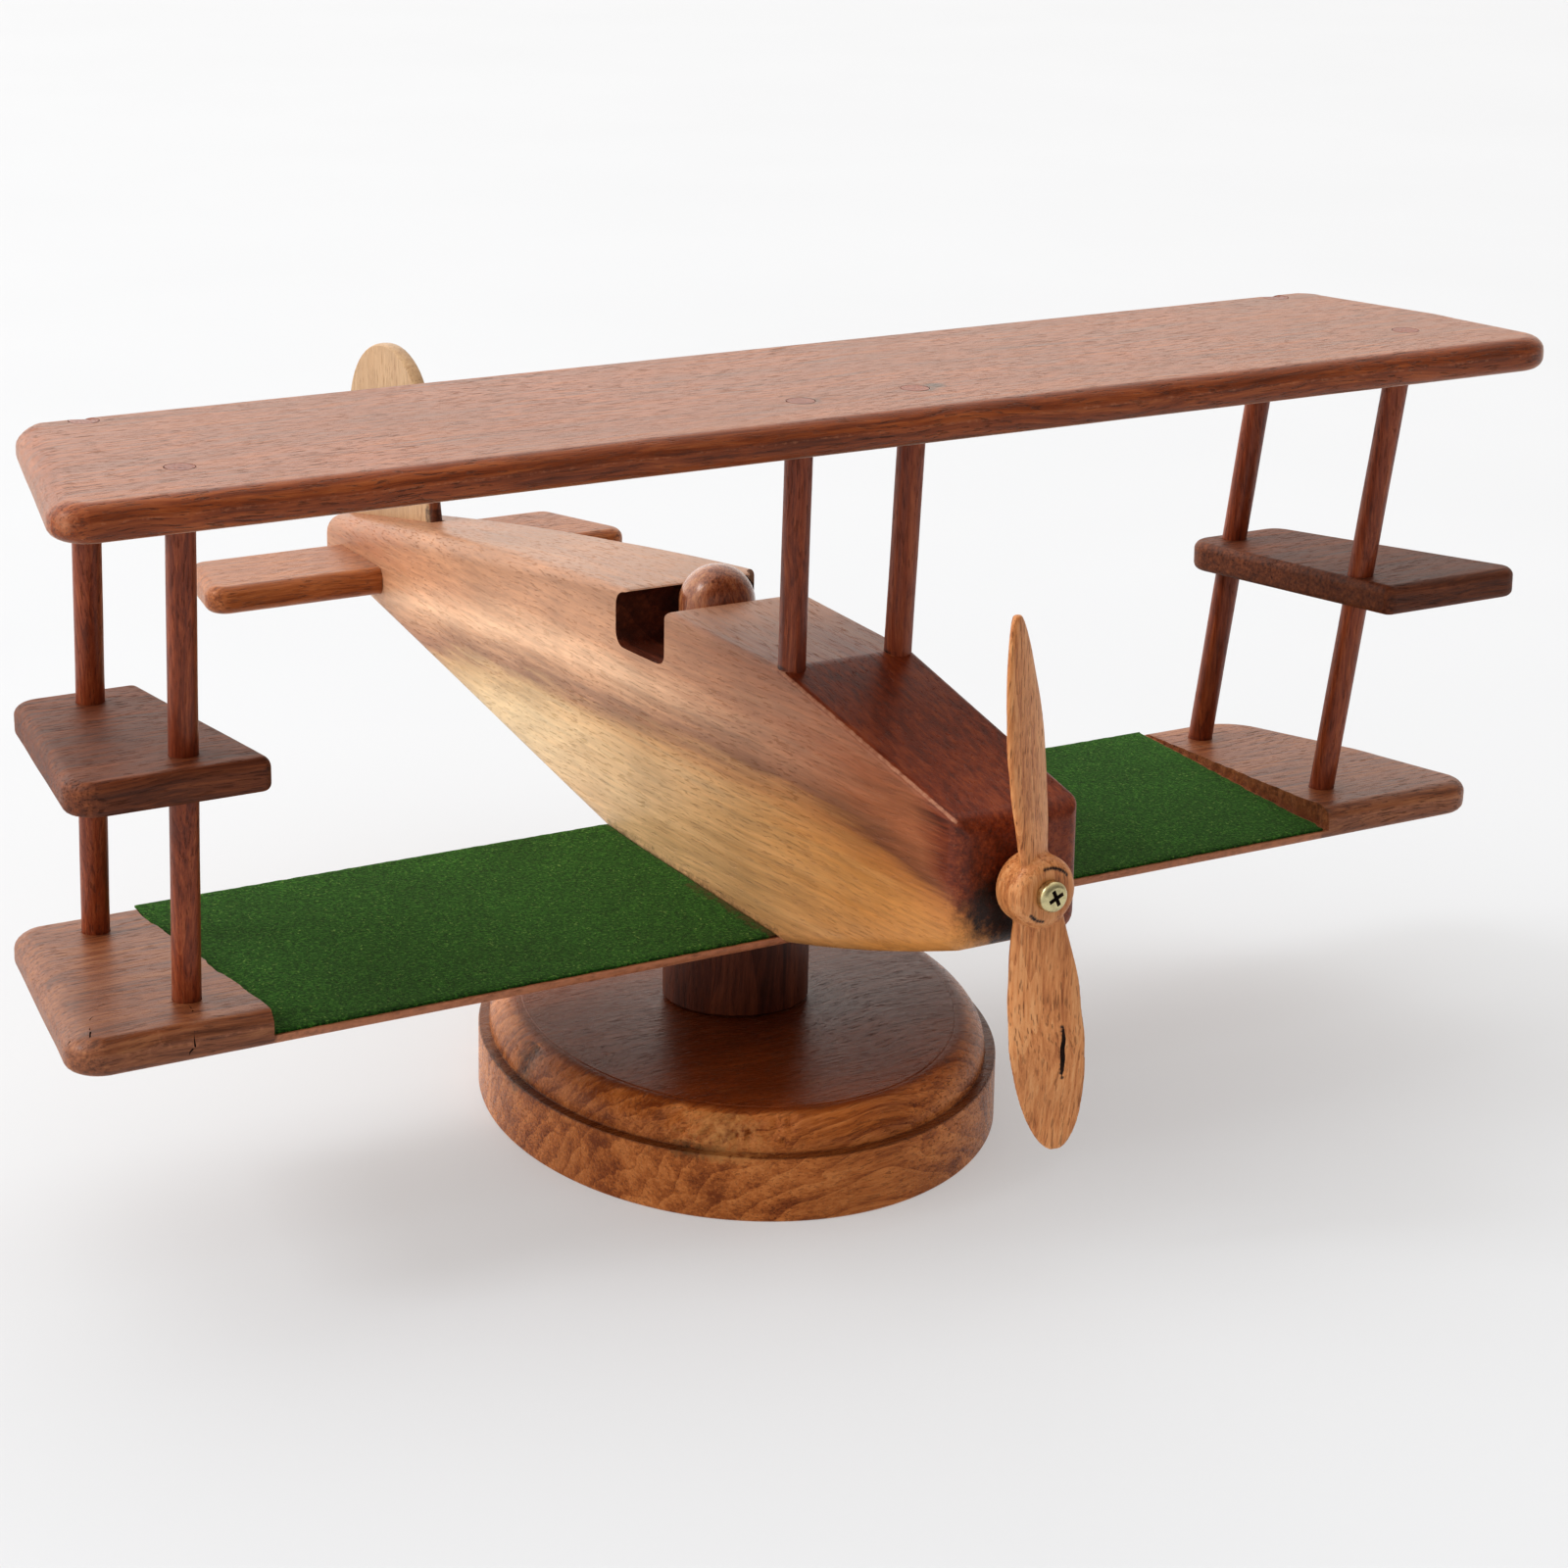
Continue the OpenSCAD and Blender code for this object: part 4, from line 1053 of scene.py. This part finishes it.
def tailplane(side, name):
    """Half the tailplane, sawn off along the fuselage's tapering side."""
    node = "tailplane_" + name
    low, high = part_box(node)
    tip = max(abs(low.x), abs(high.x))
    root = half_w(low.y) - 8 * MM
    corners = [(side * x, y) for x, y in ((root, low.y), (tip, low.y), (tip - TAILPLANE_RAKE[side], high.y),
                                          (root, high.y))][::side]
    rim = rounded(corners, [3 * MM, 8 * MM, 8 * MM, 3 * MM], [1, 1.2, 1, 1], 3 * MM)
    edge = bullnose(high.z - low.z, 3.5 * MM, 4.5 * MM)
    piece = board(node + "_board", rim, edge, low.z, seed=4.0 + side)
    front, rear = (Vector((side * (half_w(y) + GLUE_GAP), y, 0)) for y in (low.y, high.y))
    inwards = Vector((rear.y - front.y, front.x - rear.x, 0)).normalized() * -side
    bm = bmesh.new()
    bm.from_mesh(piece.data)
    found = sliced(bm, front, inwards, clear_outer=True)
    edges = [e for e in found["geom_cut"] if isinstance(e, bmesh.types.BMEdge)]
    bmesh.ops.contextual_create(bm, geom=edges)
    bm.to_mesh(piece.data)
    bm.free()
    cut(piece, *tailplane_bores())
    # Its root is painted darker where it meets the fuselage: a dark joint, with painted shade.
    placed(piece, "airframe", WING_WOODS["tailplane"], "wing_wood", [node],
           grime=lambda p: 0.5 if abs(p.x) < half_w(p.y) + 0.6 * MM else 0.0)


def fin():
    """The fin. Its front edge leans back, and is rounded more than the arch."""
    low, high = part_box("fin")
    centre, r, lean = FIN_ARCH, FIN_ARCH_R, math.radians(FIN_LEAN)
    points = [(low.y, FIN_FOOT_Z), (high.y, low.z), (high.y, 176.5 * MM)]
    points += arc(centre, r, 0, 180 - FIN_LEAN, 26)
    rings = []
    for inset, height in bullnose(high.x - low.x, 2.9 * MM, 2.9 * MM, 5):
        ring = []
        for i, (p, inwards, _) in enumerate(rim_of(points)):
            weight = 1 if i == 0 else 0.35 + 0.65 * max(0, (i - len(points) + 7) / 6)
            q = p + inwards * (inset * weight)
            ring.append((low.x + height, q.x, q.y))
        rings.append(ring)
    piece = skinned("fin_board", rings)
    gridded_along(piece, 1, 3 * MM)
    gridded_along(piece, 2, 4 * MM)

    def stain(p):
        """How near p is to the front edge below the arch, where shade is painted."""
        edge = centre.x - r * math.cos(lean) - (centre.y + r * math.sin(lean) - p.z) * math.tan(lean)
        return max(0.0, 1 - (p.y - edge) / (2.6 * MM)) if p.z < centre.y + r * 0.5 else 0.0

    def worn(p):
        # painted highlight along the top of the rounded arch
        return 0.3 if math.hypot(p.y - centre.x, p.z - centre.y) > r - 1.2 * MM and p.z > centre.y else 0

    def grime(p):
        # painted shade at the front of the foot, where the fin meets the deck
        return 0.55 if p.y < low.y + 8 * MM and p.z < deck_z(p.y) + 6 * MM else 0.0
    placed(piece, "airframe", FIN_WOOD, "fin_wood", ["fin"], worn=worn, grime=grime, stain=stain)


def pilot():
    """A round-headed peg."""
    low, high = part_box("pilot_head")
    r = (high.x - low.x) / 2
    profile = [(r - 4.5 * MM, low.z)] + [(r, low.z + 4.5 * MM + 3 * MM * k) for k in range(4)]
    profile += arc((0, high.z - r), r, 0, 84, 14) + [(0.3 * MM, high.z)]
    place = Matrix.Translation(((low.x + high.x) / 2, (low.y + high.y) / 2, 0))
    piece = lathed("pilot_peg", profile, place, 72, 0.12 * MM)
    placed(piece, "airframe", PILOT_WOOD, "pilot_wood", ["pilot_head"])


# ---------- pedestal ----------

def base():
    """The oval base: a slab, a ledge and a bead that is chipped in front."""
    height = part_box("base_plinth")[1].z
    bead_z = SLAB_H + FILLET_H
    round_r = height - bead_z
    rows = [(0.6 * MM, 0), (0, 0.6 * MM), (0, SLAB_H / 3), (0, SLAB_H * 2 / 3), (0, SLAB_H - 0.8 * MM),
            (0.3 * MM, SLAB_H - 0.2 * MM), (0.8 * MM, SLAB_H), (LEDGE - 0.2 * MM, SLAB_H),
            (LEDGE, SLAB_H + 0.3 * MM), (LEDGE, bead_z)]
    rows += arc((LEDGE + round_r, bead_z), round_r, 180, 90, 12)[1:-1]
    top = LEDGE + round_r
    rows += [(top, height - 0.25 * MM), (top + 0.25 * MM, height - 0.02 * MM), (top + 1.05 * MM, height)]
    turn = Matrix.Rotation(BASE_TURN, 3, "Z")
    sides = 420
    rings = []
    for inset, z in rows:
        ring = []
        on_bead = z > bead_z and inset < LEDGE + round_r * 0.6
        for i in range(sides):
            a = math.tau * i / sides
            x, y = math.cos(a), math.sin(a)
            keep = inset + 0.12 * MM * (1 + stray(x * 4, y * 4, z * 60))
            if on_bead:
                sector = max(0, 1 - abs(a - CHIPPED) / 0.42)
                dent = max(0, 1 - abs(a - STAINED) / 0.13)
                crumbly = max(0, stray(x * 34, y * 34, z * 260) + 0.05)
                keep += crumbly * min(1, sector * 2) * 3.4 * MM + dent ** 2 * 1.1 * MM
            ring.append(turn @ Vector(((BASE_HALF_W - keep) * x, (BASE_HALF_L - keep) * y, z)))
        rings.append(ring)
    piece = skinned("base_board", rings)
    past = 2 * MM
    cut(piece, bore(3.07 * MM, -past, height + past, sides=64), bore(11 * MM, -past, 12 * MM, sides=64))

    def round_oval(p):
        """The angle round the oval at p, and whether p is on the bead."""
        q = turn.inverted() @ p
        angle = math.atan2(q.y / BASE_HALF_L, q.x / BASE_HALF_W) % math.tau
        return angle, SLAB_H - 1 * MM < p.z < height - 1.2 * MM and q.length > 60 * MM

    def worn(p):
        angle, on_bead = round_oval(p)
        return 0.62 * max(0, 1 - abs(angle - CHIPPED) / 0.5) if on_bead else 0.0

    def grime(p):
        angle, on_bead = round_oval(p)
        stain = max(0, 1 - abs(angle - STAINED) / 0.16) * 0.6
        # painted shade in the step under the bead, by the chips
        ledge_shade_at_chips = 0.5 * max(0, 1 - abs(angle - CHIPPED + 0.12) / 0.4) if p.z < SLAB_H + 2.6 * MM else 0.0
        return max(stain, ledge_shade_at_chips) if on_bead else 0.0
    placed(piece, "base", BASE_WOOD, "base_wood", ["base_plinth"], sharp=40, worn=worn, grime=grime)


def column():
    low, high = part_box("pedestal_column")
    r = (high.x - low.x) / 2
    edge = 0.8 * MM
    profile = [(r - edge, low.z), (r, low.z + edge)]
    profile += [(r, low.z + edge + (high.z - low.z - 2 * edge) * k / 8) for k in range(1, 9)]
    profile.append((r - 0.5 * MM, high.z))
    piece = lathed("column_post", profile, Matrix(), 96, 0.1 * MM)
    dowel_low, dowel_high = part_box("column_dowel")
    cut(piece, bore(dowel_high.x + GLUE_GAP, dowel_low.z - 1 * MM, high.z + 5 * MM),
        bore(3 * MM + GLUE_GAP, low.z - 5 * MM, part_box("swivel_screw")[1].z + 0.5 * MM))
    placed(piece, "airframe", COLUMN_WOOD, "column_wood", ["pedestal_column"])


# ---------- propeller ----------

TO_FRONT = moved(0, HUB_REAR_Y, AXIS_Z, QUARTER, "X")


def blade_half_w(t, fullness):
    """Half a blade's width at t, from 0 at the axis to 1 at its end."""
    full, root, widest = BLADE_W / 2, BLADE_ROOT_W / 2, 0.55
    if t < widest:
        return root + (full - root) * math.sin(QUARTER * t / widest)
    return full * math.sqrt(max(0, 1 - ((t - widest) / (1 - widest)) ** fullness))


def blade_place(turn):
    """The matrix that puts a blade on the hub. It is built upright, with its front towards -Y."""
    pitch = Matrix.Rotation(BLADE_PITCH, 4, "Z")
    return moved(0, BLADE_MIDDLE_Y, AXIS_Z, PROPELLER_TURN + turn, "Y") @ pitch


def blade(name, turn, fullness, breadth):
    """A carved blade: a lens across, thinner and rounder towards its end."""
    place = blade_place(turn)
    rings = []
    for k in range(41):
        t = 0.04 + 0.955 * (1 - (1 - k / 40) ** 1.5)
        wide = max(blade_half_w(t, fullness) * breadth, 1.2 * MM)
        thick = (2.9 - 1.5 * t) * MM
        ring = []
        for i in range(28):
            u, v = math.cos(math.tau * i / 28), math.sin(math.tau * i / 28)
            waver = 1 + 0.05 * stray(u, v, t * 7 + turn)
            lens_v = math.copysign(abs(v) ** 0.75, v)
            ring.append(place @ Vector((wide * u * waver, -thick * lens_v, t * BLADE_R)))
        rings.append(ring)
    return skinned(name, rings)


def slit_line():
    """A split in the lower blade's front, off its middle."""
    points = wandering((-5.0 * MM, 0, 48 * MM), (-3.8 * MM, 0, 66 * MM), 12, 1.0 * MM, 2.0)
    return [blade_place(math.pi) @ Vector((p.x, -1.7 * MM, p.z)) for p in points]


def propeller():
    """One carved piece: a turned hub and two unlike blades, melted together."""
    inner = HUB_R - HUB_ROUND
    profile = arc((inner, HUB_ROUND), HUB_ROUND, -90, 0, 6)
    profile += arc((inner, HUB_LEN - HUB_ROUND), HUB_ROUND, 0, 90, 6)
    hub = lathed("propeller_carved", profile, TO_FRONT)
    combined(hub, [blade("blade", 0.0, 1.28, 0.9), blade("blade", math.pi, 2.1, 1.0)], "UNION", "INDEX")
    remesh = hub.modifiers.new("carve", "REMESH")
    remesh.mode, remesh.voxel_size = "VOXEL", 0.55 * MM
    soften = hub.modifiers.new("soften", "SMOOTH")
    soften.factor, soften.iterations = 0.5, 6
    baked(hub)
    cutters = [bore(2.32 * MM, -2 * MM, HUB_LEN + 2 * MM, TO_FRONT, 32)]
    face_y = HUB_REAR_Y - HUB_LEN + 0.1 * MM
    marks = [[Vector((x, face_y, z)) for x, z in arc((0, AXIS_Z), *sweep)]
             for sweep in ((8.8 * MM, 40, 103, 9), (9.0 * MM, 222, 257, 5))]
    cutters += [groove("knife mark", line, (0, -1, 0), 0.35 * MM, 0.35 * MM) for line in marks]
    slit = slit_line()
    out_of_blade = (math.sin(BLADE_PITCH), -math.cos(BLADE_PITCH), 0)
    cutters.append(groove("slit", slit, out_of_blade, 1.5 * MM, 1.5 * MM))
    cut(hub, *cutters)
    # the wood round the knife marks and the slit is painted darker: shade, with some dirt
    placed(hub, "propeller", PROPELLER_WOOD, "propeller_wood", ["propeller"], sharp=50,
           grime=near([p for line in marks + [slit] for p in line], 1.3 * MM))


def propeller_screw():
    """A pan-head screw with a cross recess."""
    low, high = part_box("propeller_screw")
    head_r, head_h, dome, shank_r = 5.1 * MM, 3.6 * MM, 1.8 * MM, 2.25 * MM
    face = low.y + head_h
    place = moved(0, face, AXIS_Z, QUARTER, "X")
    tip = face - high.y
    profile = [(1.2 * MM, tip), (shank_r, tip + 3 * MM), (shank_r, 0), (head_r, 0), (head_r, head_h - dome)]
    profile += arc((head_r - dome * 1.25, head_h - dome), (dome * 1.25, dome), 10, 82, 6)
    profile.append((1.0 * MM, head_h))
    screw = lathed("propeller_screw_head", profile, place, 48)
    cutters = []
    for turn in (25, 115):
        spin = place @ Matrix.Rotation(math.radians(turn), 4, "Z")
        ends = ((0.9 * MM, 0.4 * MM, head_h - 2.1 * MM), (3.3 * MM, 0.75 * MM, head_h + 0.5 * MM))
        recess = skinned("recess", [[spin @ Vector((x, y, z)) for x, y in rectangle(half_l, half_t)]
                                    for half_l, half_t, z in ends])
        # the cross recess is painted dark: painted shade
        recess.data.materials[0] = CREVICE_SHADE_AND_DIRT
        cutters.append(recess)
    cut(screw, *cutters)
    placed(screw, "airframe", BRASS, "brass", ["propeller_screw"], sharp=30)


# ---------- scene ----------

def keep_cad(nodes, material):
    """CAD nodes whose shape is right stay, with a better material."""
    for name in nodes:
        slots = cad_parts[name].data.materials
        slots.clear()
        slots.append(material)


def floor():
    mesh = bpy.data.meshes.new("floor")
    mesh.from_pydata([(x, y, 0) for x, y in rectangle(12.0, 12.0)], [], [(0, 1, 2, 3)])
    obj = linked("floor", mesh)
    g = Graph("floor_paint")
    tint = g.ramp(g.noise(g.here(), 3.0, 2.0), (0.3, srgb(170, 174, 179)), (0.7, srgb(172, 176, 181)))
    g.surface(Base_Color=tint, Roughness=0.7, Emission_Color=srgb(255, 254, 253), Emission_Strength=0.3)
    obj.data.materials.append(g.material)


def lights():
    """A soft room that is brightest behind and above, and one key lamp."""
    world = bpy.data.worlds.new("studio")
    bpy.context.scene.world = world
    world.use_nodes = True
    g = Graph.__new__(Graph)
    g.tree = world.node_tree
    x, y, z = g.split(g.add("TexCoord", {}, 0))
    level = g.madd(x, -0.2, g.madd(y, 0.38, g.madd(z, 0.2, 0.4)))
    colour = g.ramp(level, (0.0, (0.08, 0.075, 0.07, 1)), (0.4, (0.43, 0.41, 0.39, 1)),
                    (0.85, (1, 0.965, 0.925, 1)))
    background = g.tree.nodes["Background"]
    g.feed(background.inputs[0], colour)
    g.feed(background.inputs[1], 1.56)
    data = bpy.data.lights.new("key", "AREA")
    data.size, data.energy = 1.6, 95
    lamp = linked("key", data)
    lamp.location = KEY_PLACE
    lamp.rotation_euler = (Vector(KEY_AIM) - lamp.location).to_track_quat("-Z", "Y").to_euler()


def camera():
    azimuth, elevation, roll = (math.radians(a) for a in CAMERA_ANGLES)
    back = Vector((math.sin(azimuth) * math.cos(elevation), -math.cos(azimuth) * math.cos(elevation),
                   math.sin(elevation)))
    level = Vector((math.cos(azimuth), math.sin(azimuth), 0))
    upright = back.cross(level)
    right = level * math.cos(roll) + upright * math.sin(roll)
    up = upright * math.cos(roll) - level * math.sin(roll)
    data = bpy.data.cameras.new("camera")
    data.lens, data.sensor_width = CAMERA_LENS, 36
    obj = linked("camera", data)
    obj.matrix_world = Matrix.Translation(CAMERA_PLACE) @ Matrix((right, up, back)).transposed().to_4x4()
    bpy.context.scene.camera = obj


camera()
floor()
lights()
upper_wing()
lower_wing()
struts()
for way, word in SIDES:
    felt(way, word)
    shelf(way, word)
    tailplane(way, word)
fuselage()
fin()
pilot()
base()
column()
propeller()
propeller_screw()
keep_cad(["swivel_screw", "swivel_washer"], STEEL)
keep_cad(["propeller_washer"], BRASS)
keep_cad(["column_dowel", "tailplane_dowels"], DOWEL_WOOD)
bpy.context.scene.view_settings.view_transform = "Standard"
bpy.context.scene.view_settings.look = "Medium High Contrast"
